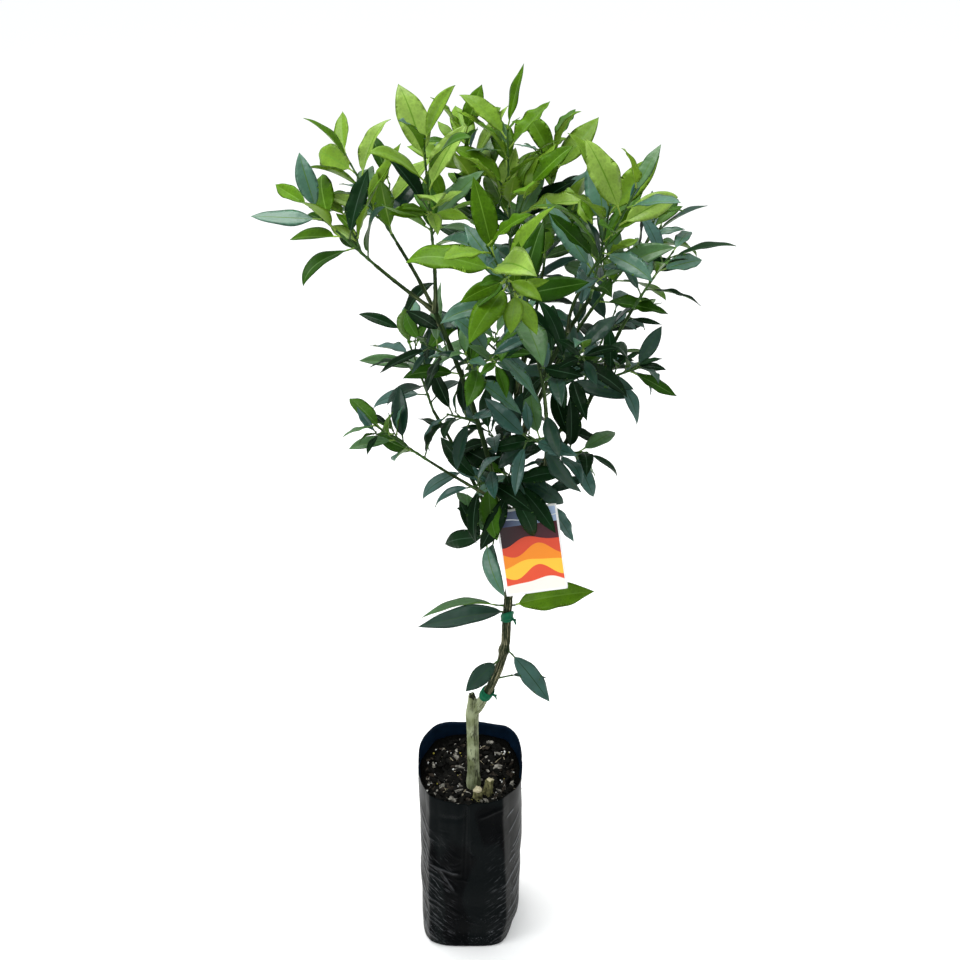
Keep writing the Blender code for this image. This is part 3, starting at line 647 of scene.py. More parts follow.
# %% Bark relief
CRACK_DEPTH = 0.0009
RIDGE_HEIGHT = 0.0009
UNION_BLEND = 0.004  # m over which the scion's bark takes over from the rootstock's
GRAFT_PLACE = 0.034  # m up the bow, under the tape, where the rootstock's bark ends
LEADER_AGE = (0.62, 0.22)
STREAKS = {"bow": 0.72, "leader": 1.15}  # how strong the pale ridges are
CUT_BELOW = 0.002
CUT_ROUGHNESS = 0.004
CUT_GRAIN = 420
CUT_RELIEF = 0.1
LEVEL_RELIEF = 0.6  # relief that neither raises nor sinks the skin


def wrapped_noise(turn, length, round_it, along_it, start=0):
    """Noise that meets itself all round a limb, so busy round it and so busy along it."""
    return noise_at(cos(turn) * round_it, sin(turn) * round_it, length * along_it + start)


def rootstock_height(turn, length):
    """Relief from 0 in a crack to 1 on a ridge, at a turn round a limb and a length along it."""
    muscle = wrapped_noise(turn, length, 1.2, 24)
    crack = abs(wrapped_noise(turn, length, 2.3, 26, 3))
    hair_crack = abs(wrapped_noise(turn, length, 4.4, 85))
    # The term in cos(turn) keeps the relief lower on the right side (+X). That sinks that side a little and
    # paints it darker: painted shade.
    skin = 0.78 - 0.24 * cos(turn) + 0.45 * muscle + 0.3 * wrapped_noise(turn, length, 1, 170)
    return min(1, max(0, skin * min(1, 0.02 + crack * 9) * (0.6 + 0.4 * min(1, hair_crack * 7))))


def scion_height(turn, length):
    """The same for the scion's bark: pale ridges run along it on a dark skin."""
    ridge = abs(wrapped_noise(turn, length, 1.9, 10))
    patch = wrapped_noise(turn, length, 1.1, 30, 5)
    fine = wrapped_noise(turn, length, 6, 70)
    return min(1, max(0, 0.04 + (0.60 + 0.8 * patch) * max(0, 1 - ridge * 7) + 0.3 * fine))


print("the rootstock's relief at its front is", round(rootstock_height(-pi / 2, SOIL_TOP), 2))

# %% Relief at each point of the trunk
def line_tree(names):
    """A tree of the places along some limbs, with the limb and the length along it for each."""
    tree = KDTree(sum(len(trunk_lines[name]) for name in names))
    stations = []
    for name in names:
        for index, point in enumerate(trunk_lines[name]):
            tree.insert(point, len(stations))
            stations.append((name, index * FINE_STEP))
    tree.balance()
    return tree, stations


def turn_about(middle, place):
    return atan2(place.y - middle.y, place.x - middle.x)


def trunk_marks():
    """Each point's moved place, its relief, and its age from 0 for green to 1 for old bark."""
    old_tree, old_stations = line_tree(("rootstock",))
    new_tree, new_stations = line_tree(("bow", "leader"))
    places, relief, age = [], [], []
    top = lines["rootstock"][-1]
    slant = CUT_SLANT.normalized()
    for vertex in trunk_skin.vertices:
        here = vertex.co
        old_point, old_number, old_reach = old_tree.find(here)
        new_point, new_number, new_reach = new_tree.find(here)
        name, length = new_stations[new_number]
        old = min(1, max(0, 0.5 + (new_reach - old_reach) / UNION_BLEND))
        grafted = float(name == "bow" and length < GRAFT_PLACE)
        old_height = rootstock_height(turn_about(old_point, here), here.z)
        new_turn = turn_about(new_point, here)
        if grafted:
            new_height = rootstock_height(new_turn, here.z)
        else:
            new_height = scion_height(new_turn, here.z) * STREAKS[name]
        height = mixed((new_height, old_height), old)
        depth = mixed((RIDGE_HEIGHT, CRACK_DEPTH), old)
        place = here + vertex.normal * (height - LEVEL_RELIEF) * depth
        place.z = max(place.z, SOIL_TOP)
        above = (place - top).dot(slant) + CUT_ROUGHNESS * noise.noise(place * CUT_GRAIN)
        past_union = old_stations[old_number][1] > UNION_PLACE * ROOTSTOCK_LENGTH
        if old > 0.5 and above > -CUT_BELOW and past_union:
            place -= slant * (above + CUT_BELOW)
            height *= CUT_RELIEF
        up_leader = 0 if name == "bow" else length / LIMBS["leader"].length
        places.append(place)
        relief.append(height)
        age.append(max(mixed(LEADER_AGE, up_leader), grafted, old))
    return places, relief, age


trunk_places, trunk_relief, trunk_age = trunk_marks()
print("bark relief from", round(min(trunk_relief), 2), "to", round(max(trunk_relief), 2))

# %% [markdown]
# ## Bark finishes
# Old bark is a pale grey-green with brown-black cracks. The scion's bark is olive with paler
# ridges, and young wood is a plain dark green. The relief that moved the points also picks the
# colour, so a crack is dark where it is deep, and the rootstock's right side, where the relief is
# kept low, is painted darker as shade. An image of bark wrapped round each limb would
# stretch where the limbs melt together, and these patterns don't.


# %% Bark
OLD_RIDGE, OLD_PATCH, OLD_CRACK = tint("969E7E"), tint("69714F"), tint("24261A")
SCION_RIDGE, SCION_CRACK = tint("948F70"), tint("16210F")
YOUNG_RIDGE, YOUNG_CRACK = tint("405728"), tint("18280F")


def bark_paint(start):
    relief = marked(start, "relief")
    age = marked(start, "age")
    mottle = grain(start, 260.0, (1, 1, 0.35), 5.0)
    # The relief is kept lower on the rootstock's right side, so this depth paints that side darker: painted
    # shade.
    depth = ramped(relief * 0.8 + mottle * 0.4, 0.22, 0.75)
    young = between(depth, YOUNG_CRACK, YOUNG_RIDGE)
    scion = between(depth, SCION_CRACK, SCION_RIDGE)
    patches = ramped(grain(start, 75.0, (1, 1, 0.5), 4.0), 0.40, 0.62)
    weathered = between(patches, OLD_PATCH, OLD_RIDGE)
    old = between(depth, OLD_CRACK, weathered)
    colour = between(ramped(age, 0.7, 0.9), between(ramped(age, 0.15, 0.5), young, scion), old)
    height = relief * 0.3 + grain(start, 900.0, (1, 1, 0.4))
    rough = 0.9 - depth * 0.25
    return {"Base Color": colour, "Roughness": rough, "Normal": bumped(height, 0.5, 0.0005)}


bark = finish("bark", bark_paint, 0.12)
trunk = Pile()
trunk_faces = [tuple(face.vertices) for face in trunk_skin.polygons]
trunk.add(trunk_places, trunk_faces, relief=trunk_relief, age=trunk_age)
trunk.piece("trunk_wood", [bark], "trunk_bark", ["trunk"])

# %% [markdown]
# ## The boughs
# Each bough is a tapering tube with a collar where it leaves its parent and small swellings where
# leaves once stood. They keep a green skin, a little corky near the base. They aren't melted into
# the leader as the scion is: a bough's foot is buried in its parent, and the collar hides the seam
# at far less cost.

# %% Boughs
BOUGH_SIDES = 12
COLLAR_SWELL = 0.55  # share of the radius
COLLAR_REACH = 0.007
JOINT_SPACING = 0.021
JOINT_SWELL = 0.16
JOINT_REACH = 0.0016
BOUGH_AGE = (0.34, 0.0)
BOUGH_RELIEF = 0.0005  # for a bough as thick as the leader's tip
BOUGH_END_SHARE = 0.6  # of the radius, where it closes
BOUGH_END_LENGTH = 0.0008


def limb_radius(limb, length, whole):
    """Radius at a length along a limb, with its collar and the swellings at its joints."""
    radius = mixed((limb.foot, limb.tip), length / whole)
    nearest = abs((length / JOINT_SPACING) % 1 - 0.5) * JOINT_SPACING
    collar = COLLAR_SWELL * hump(length - limb.foot, COLLAR_REACH)
    return radius * (1 + collar + JOINT_SWELL * hump(nearest, JOINT_REACH))


def add_bough(pile, name):
    limb = LIMBS[name]
    line = smooth_line(lines[name], FINE_STEP)
    whole = (len(line) - 1) * FINE_STEP
    radii = [limb_radius(limb, index * FINE_STEP, whole) for index in range(len(line))]
    radii += [radii[-1] * BOUGH_END_SHARE]
    line.append(line[-1] + (line[-1] - line[-2]).normalized() * BOUGH_END_LENGTH)
    relief = []

    def ridge(index, turn):
        relief.append(scion_height(turn, index * FINE_STEP + limb.azimuth))
        return (relief[-1] - 0.5) * BOUGH_RELIEF * limb.foot / LIMBS["leader"].tip

    shape = tube(line, radii, BOUGH_SIDES, ridge)
    pile.add(*shape, relief=relief, age=mixed(BOUGH_AGE, np.repeat(shares_of(line), BOUGH_SIDES)))


bough_names = [name for name in LIMBS if name not in TRUNK_PARTS]
boughs = Pile()
for name in bough_names:
    add_bough(boughs, name)
boughs.piece("boughs", [bark], "green_bark", bough_names)

# %% [markdown]
# ## Where each leaf stands
# Citrus leaves stand one at a joint, each turned about 137.5 degrees from the last. Every shoot
# follows that spiral from its own seed, and turns its upper faces towards the light. A leaf that
# would touch a limb or another leaf is turned a little, and left out where turning doesn't free it.
# Plain leaves with three-cornered sections stand in for the real ones while this is tested, because
# testing the fine ones would take minutes and say the same.

# %% A plain leaf, and what it touches
LIMB_SIDES = 6
TRUNK_RING = 10
TWIG_SIDES = 3
TWIG_RADII = (0.0015, 0.0009)
LEAF_SECTIONS = ((0.0, 0.0), (0.44, 1.0), (0.78, 0.66))
LEAF_STEPS = 12
PETIOLE_HALF_WIDTH = 0.0009
MIDRIB_DEPTH = 0.0013
LIGHT = Vector((-0.15, -0.45, 0.9))
LEAF_WIDTHS = (0.33, 0.43)
LEAF_LENGTHS = (0.86, 1.1)
LEAF_DROOPS = (0.6, 1.5)
SPREADS = (1.25, 0.75)  # at the stem's foot and at its tip
SPREAD_SHIFT = 8  # degrees
STEM_PULL = 0.5  # how far a leaf's face leans to the stem's direction
AWAY_PULL = (-0.5, 0.3)
TOP_FROM = 0.9  # leaves past this share of the stem are shorter
TOP_LENGTH = 0.85
GOLDEN_TURN = 137.5
BLADE_START = 0.2
STEM_BARE = 0.012
TWIG_SHARE = 0.5  # of the stem's length
TWIG_FIRST = 0.22  # share of the stem where the first side twig stands, and how far on the next
TWIG_SPACING = 0.2
TWIG_LEAN = 1.1
TWIG_CURL = 10
STEM_STEP = 0.025
REACH = 1.35  # times a leaf's length: how far from its stem a shoot's space goes
BAG_BACK_RIM = 0.320
# degrees of turn and share of the spread, tried in this order
TRIES = ((0, 1.0), (22, 1.0), (-22, 1.0), (0, 0.75), (44, 0.9), (-44, 0.9), (70, 0.8), (-70, 0.8))

Leaf = namedtuple("Leaf", "root direction normal length width droop")


def leaf_block(leaf, spare=0.0, start=0.0):
    """A plain closed leaf: three-cornered sections along a midrib that bends down, then a point."""
    side = leaf.direction.cross(leaf.normal).normalized()
    bend = Matrix.Rotation(radians(-leaf.droop / LEAF_STEPS), 3, side)
    midrib = [leaf.root.copy()]
    direction = leaf.direction.copy()
    normals = [leaf.normal]
    for _ in range(LEAF_STEPS):
        midrib.append(midrib[-1] + direction * leaf.length / LEAF_STEPS)
        direction = bend @ direction
        normals.append(bend @ normals[-1])
    vertices = []
    for share, width in LEAF_SECTIONS:
        index = round(max(share, start) * LEAF_STEPS)
        half_width = max(leaf.width / 2 * width, PETIOLE_HALF_WIDTH) + spare
        middle = midrib[index] + normals[index] * spare
        below = middle - normals[index] * (MIDRIB_DEPTH + 2 * spare)
        vertices += [middle - side * half_width, middle + side * half_width, below]
    faces = ring_faces([(0, 1, 2), (3, 4, 5), (6, 7, 8)])[:-1]
    return [*vertices, midrib[-1]], [*faces, (6, 7, 9), (7, 8, 9), (8, 6, 9)]


def block_of(shape):
    """A solid's search tree, for quick tests of what touches what."""
    return BVHTree.FromPolygons(*shape)


def leaf_blocks_of(placed):
    return [block_of(leaf_block(leaf, GAP)) for _, leaf in placed]


def crosses(shape, blocks):
    """Whether the solid's surface cuts through that of any block."""
    tested = block_of(shape)
    return any(tested.overlap(block) for block in blocks)


print("a plain leaf has", len(LEAF_SECTIONS), "sections and a point")

# %% The spiral of leaves
def leaf_at(stem, share, turn, mass, chance):
    """The leaf that stands at a share of the stem, turned so many degrees round it."""
    root, stem_direction = along(stem, share)
    away = outward(stem_direction, radians(turn))
    shift = chance.uniform(-SPREAD_SHIFT, SPREAD_SHIFT)
    spread = radians(mass.spread * mixed(SPREADS, share) + shift)
    direction = stem_direction * cos(spread) + away * sin(spread)
    upward = LIGHT + stem_direction * STEM_PULL + away * chance.uniform(*AWAY_PULL)
    normal = (upward - direction * upward.dot(direction)).normalized()
    length = mass.leaf * chance.uniform(*LEAF_LENGTHS) * (1.0 if share < TOP_FROM else TOP_LENGTH)
    width = length * chance.uniform(*LEAF_WIDTHS)
    return Leaf(root, direction, normal, length, width, mass.droop * chance.uniform(*LEAF_DROOPS))


def inside_space(corners, stem, reach):
    """Whether every corner is within reach of the stem, and clear of the bag."""
    for corner in corners:
        away = min((corner - point).length for point in stem)
        if away >= reach or corner.z <= BAG_BACK_RIM:
            return False
    return True


def free_leaf(stem, share, turn, mass, chance, space, taken, own_stems):
    """The first leaf of a few turned ones that stays in the shoot's space and touches nothing."""
    state = chance.getstate()
    for extra, closer in TRIES:
        chance.setstate(state)
        narrowed = mass._replace(spread=mass.spread * closer)
        leaf = leaf_at(stem, share, turn + extra, narrowed, chance)
        whole = leaf_block(leaf, GAP)
        if not inside_space(whole[0], *space):
            continue
        if not crosses(whole, taken) and not crosses(leaf_block(leaf, GAP, BLADE_START), own_stems):
            return leaf
    return None


def spiral_leaves(mass, stem, count, chance, space, taken, own_stems):
    """Leaves in a spiral up one stem, as pairs of a share of the stem and a leaf."""
    placed = []
    space = space or (stem, mass.leaf * REACH)
    first = STEM_BARE / (len(stem) * (stem[1] - stem[0]).length)
    turn = chance.uniform(0, 360)
    for number in range(count):
        share = mixed((first, 1.0), number / (count - 1)) if count > 1 else 1.0
        turn += GOLDEN_TURN
        leaf = free_leaf(stem, share, turn, mass, chance, space, taken, own_stems)
        if leaf:
            placed.append((share, leaf))
            taken.append(block_of(leaf_block(leaf, GAP)))
    return placed


print(len(TRIES), "turns tried for each leaf")

# %% [markdown]
# ## Room for the label
# The picture label hangs in the lower crown, and no leaf may cut through it or its strap. Leaves
# could be cleared away there afterwards, but that would leave a hole. So the card's place is worked
# out first, and the leaves grow round it.

# %% The label's place and its strap
LABEL_SIZE = (0.072, 0.0008, 0.100)
LABEL_CENTRE = Vector((0.073, -0.072, 0.714))
LABEL_LEAN = 28
LABEL_ROLL = 8
LABEL_CLEARANCE = 0.002
STRAP_ALONG = 0.84
STRAP_RADIUS = 0.0008
STRAP_SUNK = 0.002
STRAP_ARC_STEPS = 6
STRAP_SIDES = 5


def label_turn():
    lean = Matrix.Rotation(radians(-LABEL_LEAN), 3, "X")
    return lean @ Matrix.Rotation(radians(-LABEL_ROLL), 3, "Y")


def label_block(spare):
    x, y, z = [size / 2 + spare for size in LABEL_SIZE]
    level = ((-x, -y), (x, -y), (x, y), (-x, y))
    corners = [Vector((*corner, height)) for height in (-z, z) for corner in level]
    points = [LABEL_CENTRE + label_turn() @ corner for corner in corners]
    return points, ring_faces([(0, 1, 2, 3), (4, 5, 6, 7)])


def strap_line(edge, ends_apart):
    """Out of the card's top edge, round the back of the leader and back to the card."""
    loop = along(lines["leader"], STRAP_ALONG)[0]
    leader = mixed((LIMBS["leader"].foot, LIMBS["leader"].tip), STRAP_ALONG)
    around = (leader + GAP + STRAP_RADIUS) / cos(pi / STRAP_ARC_STEPS / 2)
    level = Vector((edge.x - loop.x, edge.y - loop.y, 0)).normalized()
    across = Vector((-level.y, level.x, 0))
    points = [edge + across * around * ends_apart]
    for step in range(STRAP_ARC_STEPS + 1):
        turn = pi * step / STRAP_ARC_STEPS
        points.append(loop + (across * cos(turn) - level * sin(turn)) * around)
    return [*points, edge - across * around * ends_apart]


label_edge = LABEL_CENTRE + label_turn() @ Vector((0, 0, LABEL_SIZE[2] / 2 - STRAP_SUNK))
strap_points = strap_line(label_edge, 0.5)
strap_block = tube(strap_points, [STRAP_RADIUS + LABEL_CLEARANCE] * len(strap_points), STRAP_SIDES)
print("the strap leaves the card", round(label_edge.z, 3), "m up")

# %% Stems and side twigs
def twig_line(root, direction, away, lean, length, curl):
    """A short line that leaves a stem at a lean."""
    way = (direction + away * lean).normalized()
    azimuth = degrees(atan2(way.y, way.x))
    return walk(root, azimuth, degrees(asin(way.z)), length, curl, 0, 3)


def shoot_stems(name):
    """The stem of a shoot and its side twigs, as lines."""
    mass = MASSES[name]
    chance = random.Random(f"{name} {mass.seed} twigs")
    start = along(lines[mass.parent], mass.along)[0]
    steps = max(2, round(mass.length / STEM_STEP))
    stems = [walk(start, mass.azimuth, mass.rise, mass.length, mass.curl, 0, steps)]
    for number in range(mass.twigs):
        root, direction = along(stems[0], TWIG_FIRST + TWIG_SPACING * number)
        away = outward(direction, chance.uniform(0, tau))
        length = mass.length * TWIG_SHARE
        stems.append(twig_line(root, direction, away, TWIG_LEAN, length, TWIG_CURL))
    return stems


def twig_block(line):
    return tube(line, [mixed(TWIG_RADII, share) for share in shares_of(line)], TWIG_SIDES)


def limb_block(name):
    """The limb's plain tube with the gap added all round and at its tip."""
    line, limb = lines[name], LIMBS[name]
    sides = TRUNK_RING if name in TRUNK_PARTS else LIMB_SIDES
    radii = [mixed((limb.foot, limb.tip), share) for share in shares_of(line)]
    if name == "bow":
        radii[round(KNOT_PLACE * (len(line) - 1))] = KNOT_BLOCK_RADIUS
    spare = GAP / cos(pi / sides)
    tip = (line[-1] - line[-2]).normalized() * GAP
    return tube([*line[:-1], line[-1] + tip], [radius + spare for radius in radii], sides)


stems = {name: shoot_stems(name) for name in MASSES}
stem_blocks = {name: [block_of(twig_block(stem)) for stem in stems[name]] for name in MASSES}
limb_blocks = [block_of(limb_block(name)) for name in LIMBS]
limb_blocks += [block_of(label_block(LABEL_CLEARANCE)), block_of(strap_block)]
print(sum(map(len, stems.values())), "stems and side twigs")

# %% Leaves of every shoot
def stems_beside(name):
    """The blocks of every other shoot's stems."""
    return [block for other in MASSES if other != name for block in stem_blocks[other]]


leaves = {}
leaf_blocks = []
for name, mass in MASSES.items():
    chance = random.Random(f"{name} {mass.seed}")
    taken = limb_blocks + stems_beside(name) + leaf_blocks
    leaves[name] = []
    for number, stem in enumerate(stems[name]):
        count = mass.leaves if number == 0 else max(3, mass.leaves // 2 - 1)
        leaves[name] += spiral_leaves(mass, stem, count, chance, None, taken, stem_blocks[name])
    leaf_blocks += leaf_blocks_of(leaves[name])
print(sum(map(len, leaves.values())), "leaves of full size")

# %% [markdown]
# ## The pair of long leaves
# Two long leaves stand low on the leader's left, one arched over the other. They could be placed by
# hand, but the spiral brings them close, so both are only lifted, and the upper one is drawn out
# and bent further.

# %% The pair of long leaves on the left
PAIR = "spur_left_leaves"
LOWER_ROOT = 0.178  # share of the leader where the lower one stands
LOWER_LIFT = 0.07
UPPER_LIFT = 0.28
UPPER_DROOP = 24  # degrees more than the rule gives, so that it arches over the lower one
UPPER_LONGER = 0.016

(low_share, lower), (high_share, upper) = leaves[PAIR]


def lifted(leaf, lift, **changes):
    """The leaf with its direction raised, and its upper face still square to it."""
    way = (leaf.direction + Vector((0, 0, lift))).normalized()
    face = (leaf.normal - way * leaf.normal.dot(way)).normalized()
    return leaf._replace(direction=way, normal=face, **changes)


lower = lifted(lower, LOWER_LIFT, root=along(lines["leader"], LOWER_ROOT)[0])
upper = upper._replace(droop=upper.droop + UPPER_DROOP, length=upper.length + UPPER_LONGER)
upper = lifted(upper, UPPER_LIFT)
leaves[PAIR] = [(low_share, lower), (high_share, upper)]
print("the pair's roots are", round((upper.root - lower.root).length * 1000), "mm apart")

# %% [markdown]
# ## Finer twigs
# Between the large leaves a live shoot carries small ones: a tuft of new leaves at its tip and
# short side shoots from the joints. They follow the same rule within the same reach, so the crown's
# outline and its gaps stay. Scattering them with particles would be quicker, but some would cut
# through the large leaves.

# %% Small side shoots and tip leaves
SMALL_SHOOTS = (0.20, 0.38, 0.56, 0.76)
SMALL_LENGTH = (0.18, 0.34)  # as shares of the stem's length
SMALL_SHIFT = 0.06
SMALL_LEAN = 1.0
SMALL_CURL = 16
SMALL_LEAF = 0.56  # as a share of a full leaf
SMALL_LEAVES = 5
SMALL_SPREAD = 52
TIP_LEAVES = 2
TIP_LEAF = 0.40
TIP_SPREAD = 24
LONG_STEM = 0.03  # a shorter stem carries no side shoots


def small_shoots(name):
    """Side shoots and tip leaves of one shoot, which touch nothing that already stands."""
    mass = MASSES[name]
    chance = random.Random(f"{name} {mass.seed} small")
    taken = limb_blocks + leaf_blocks + leaf_blocks_of(leaves[name]) + stems_beside(name)
    space = (stems[name][0], mass.leaf * REACH)
    small = mass._replace(leaf=mass.leaf * SMALL_LEAF, spread=SMALL_SPREAD)
    twigs, grown = [], []
    for share in SMALL_SHOOTS if mass.length > LONG_STEM else ():
        root, direction = along(stems[name][0], share + chance.uniform(-SMALL_SHIFT, SMALL_SHIFT))
        away = outward(direction, chance.uniform(0, tau))
        length = mass.length * chance.uniform(*SMALL_LENGTH)
        twig = twig_line(root, direction, away, SMALL_LEAN, length, SMALL_CURL)
        if crosses(twig_block(twig), taken):
            continue
        placed = spiral_leaves(small, twig, SMALL_LEAVES, chance, space, taken, stem_blocks[name])
        if placed:
            twigs.append(twig)
            grown += placed
    tip = mass._replace(leaf=mass.leaf * TIP_LEAF, spread=TIP_SPREAD)
    grown += spiral_leaves(tip, stems[name][0][-2:], TIP_LEAVES, chance, space, taken, [])
    return twigs, grown


small_twigs, small_leaves = {}, {}
for name in MASSES:
    small_twigs[name], small_leaves[name] = small_shoots(name)
    leaf_blocks += leaf_blocks_of(small_leaves[name])
print(sum(map(len, small_twigs.values())), "small shoots")
print(sum(map(len, small_leaves.values())), "small leaves")

# %% [markdown]
# ## Leaves along the boughs
# A bough was a shoot a year ago and still carries some of its leaves, one at a joint. More shoots
# would fill the crown too, but they would close its gaps. Single leaves in the same spiral leave
# them open.

# %% Leaves at the joints of the boughs
LEAFY_BOUGHS = (
    "left_stem", "right_bough", "centre_bough", "front_bough", "front_right_bough",
    "far_right_bough", "rear_left_bough", "rear_bough", "rear_right_bough",
)
BARE_SHARE = 0.3  # of a bough, from its foot
BOUGH_LEAF = 0.062
BOUGH_LEAF_SPACING = 0.024
BOUGH_MASS = MASSES["left_middle_leaves"]._replace(leaf=BOUGH_LEAF)


def bough_leaves(name):
    """Single leaves in a spiral round a bough's upper part, clear of all that already stands."""
    line = lines[name][round(BARE_SHARE * len(lines[name])) :]
    number = list(LIMBS).index(name)
    other_limbs = limb_blocks[:number] + limb_blocks[number + 1 :]
    taken = other_limbs + leaf_blocks + stems_beside(name)
    count = round((line[-1] - line[0]).length / BOUGH_LEAF_SPACING)
    chance = random.Random(name)
    space = (line, BOUGH_LEAF * REACH)
    return spiral_leaves(BOUGH_MASS, line, count, chance, space, taken, [limb_blocks[number]])


joint_leaves = {}
for name in LEAFY_BOUGHS:
    joint_leaves[name] = bough_leaves(name)
    leaf_blocks += leaf_blocks_of(joint_leaves[name])
print(sum(map(len, joint_leaves.values())), "leaves at the joints of the boughs")

# %% [markdown]
# ## The leaf itself
# A citrus leaf folds a little along its midrib, arches down to its tip, and waves at its margin.
# Its stalk is round and flattens into the blade. One ring of twelve points does all of that: round
# at the stalk, and further out eight points across the upper face and four across the lower one.
# The side veins are shallow furrows pressed into the upper face. Numpy works out a whole leaf at
# once, which keeps the crown's hundreds of thousands of points quick.

# %% The leaf's measures
# places across the blade, from margin to margin over the upper face and back under it
UPPER = np.array((-1.0, -0.68, -0.36, -0.05, 0.05, 0.36, 0.68, 1.0))
LOWER = np.array((0.55, 0.06, -0.06, -0.55))
ACROSS = np.concatenate((UPPER, LOWER))
RING = len(ACROSS)
ROUND_TURN = np.radians(np.concatenate((np.linspace(180, 0, len(UPPER)), (-36, -72, -108, -144))))
LOOK_ACROSS = np.array((0, 0, 0, 1, 0, 0, 0, 2, 2, 3, 2, 2))  # 0 upper, 1 rib, 2 lower, 3 stalk
STATIONS = {"full": 38, "small": 18}
STALK_SHARE = 0.11
STALK_RADIUS = 0.0008
STALK_JOINT_REACH = 0.02  # share of the leaf's length
FOOT_SWELL = 0.7  # of the stalk's radius, where it joins the stem
WING_SWELL = 0.3  # and where it joins the blade
FLAT_FROM = 0.07  # share of the blade by which the round stalk has gone flat
STALK_LOOK_TO = 0.04  # share of the blade that still has the stalk's colour
TIP_OPENING = 0.35  # how much flatter the fold is at the tip
LEFT_PHASE = 2.1  # of the wave along the left margin
BLADE_THICKNESS = 0.0004
RIB_SHARE = 0.1  # of the half width
RIB_TAPER = 0.6
RIB_BELOW = 0.0007
RIB_SUNK = 0.0002
VEINS = 8
VEIN_DEPTH = 0.0010
VEIN_SLANT = 0.26
BLADE_FOOT = 0.88  # larger numbers draw the blade's foot and tip out finer
BLADE_TIP = 1.08
BLADE_BOTH = BLADE_FOOT + BLADE_TIP
BLADE_PEAK = (BLADE_FOOT**BLADE_FOOT * BLADE_TIP**BLADE_TIP) / BLADE_BOTH**BLADE_BOTH
SLIMNESS = {"bright": 0.96, "mid": 0.86, "dark": 0.80}  # share of the plain leaf's width
LARGE_STALK = 0.02  # those leaves are broad to the foot
LARGE_TIP_DROOP = -12
LARGE_LEAVES = {  # slimness, fold and tint of the few large leaves on the trunk itself
    "spur_left_leaves": (0.72, 34, 2),
    "spur_right_leaves": (1.0, 24, 0),
    "lowest_right_leaves": (0.84, 12, 3),
    "lower_right_leaves": (0.8, 20, 2),
    "lowest_left_leaves": (1.05, 10, 2),
}


print("a leaf has", RING, "points round it")

# %% A leaf as rings
def blade_outline(place):
    """Half width as a share of the widest: round at the foot, and drawn out to a point."""
    shape = place**BLADE_FOOT * (1 - place) ** BLADE_TIP
    return shape / BLADE_PEAK


def blade_ring(place, half_width, form):
    """Points across and above the midrib for each station along the blade."""
    size = np.abs(ACROSS)
    fold = np.radians(form["fold"] * (1 - TIP_OPENING * place))[:, None]
    half_width = half_width[:, None]
    x = ACROSS * half_width * np.cos(fold)
    z = size * half_width * np.sin(fold) - form["curl"] * half_width * size**2
    phase = np.where(ACROSS > 0, form["phase"], LEFT_PHASE)
    wave = np.sin(tau * form["waves"] * place[:, None] + phase)
    z += form["wave"] * half_width * size**2 * wave
    vein = 0.5 + 0.5 * np.cos(tau * VEINS * (place[:, None] - VEIN_SLANT * size))
    above = np.arange(RING) < len(UPPER)
    margin = size == 1
    rib = size < RIB_SHARE
    z -= np.where(above & ~margin & ~rib, VEIN_DEPTH * vein**3 * (1 - size), 0)
    z += np.where(margin, 0, np.where(above, 0.5, -0.5) * BLADE_THICKNESS)
    z -= np.where(rib, np.where(above, RIB_SUNK, RIB_BELOW), 0) * (1 - RIB_TAPER * place[:, None])
    return x, z


def leaf_shape(leaf, form, stations):
    """The leaf's points, its faces, and each face's look: upper, rib, lower, or stalk."""
    share = np.linspace(0, 1, stations)
    bend = np.radians(leaf.droop * share + form["tip_droop"] * share**4)[:, None]
    forward = np.array(leaf.direction)
    up = np.array(Matrix.Rotation(radians(form["roll"]), 3, leaf.direction) @ leaf.normal)
    side = np.cross(forward, up)
    direction = forward * np.cos(bend) - up * np.sin(bend)
    normal = up * np.cos(bend) + forward * np.sin(bend)
    path = np.array(leaf.root) + np.cumsum(direction, axis=0) * leaf.length / (stations - 1)
    path += np.outer(share**2, side) * leaf.length * form["sideways"]
    twist = np.radians(form["twist"] * share)[:, None]
    level = side * np.cos(twist) + normal * np.sin(twist)
    raised = normal * np.cos(twist) - side * np.sin(twist)
    stalk = form["stalk"]
    place = np.clip((share - stalk) / (1 - stalk), 0, 1)
    half_width = leaf.width / 2 * form["slimness"] * blade_outline(place)
    x, z = blade_ring(place, half_width, form)
    foot, wing = [np.exp(-(((share - joint) / STALK_JOINT_REACH) ** 2)) for joint in (0, stalk)]
    radius = (STALK_RADIUS * (1 + FOOT_SWELL * foot + WING_SWELL * wing))[:, None]
    flat = np.clip(place / FLAT_FROM, 0, 1)[:, None]
    x = flat * x + (1 - flat) * radius * np.cos(ROUND_TURN)
    z = flat * z + (1 - flat) * radius * np.sin(ROUND_TURN)
    points = path[:, None] + x[..., None] * level[:, None] + z[..., None] * raised[:, None]
    looks = np.tile(LOOK_ACROSS, (stations - 1, 1))
    looks[place[1:] < STALK_LOOK_TO] = 3
    return points.reshape(-1, 3), ring_faces(numbered_rings(stations, RING)), [3, *looks.ravel(), 0]


print("a full leaf has", STATIONS["full"], "rings")

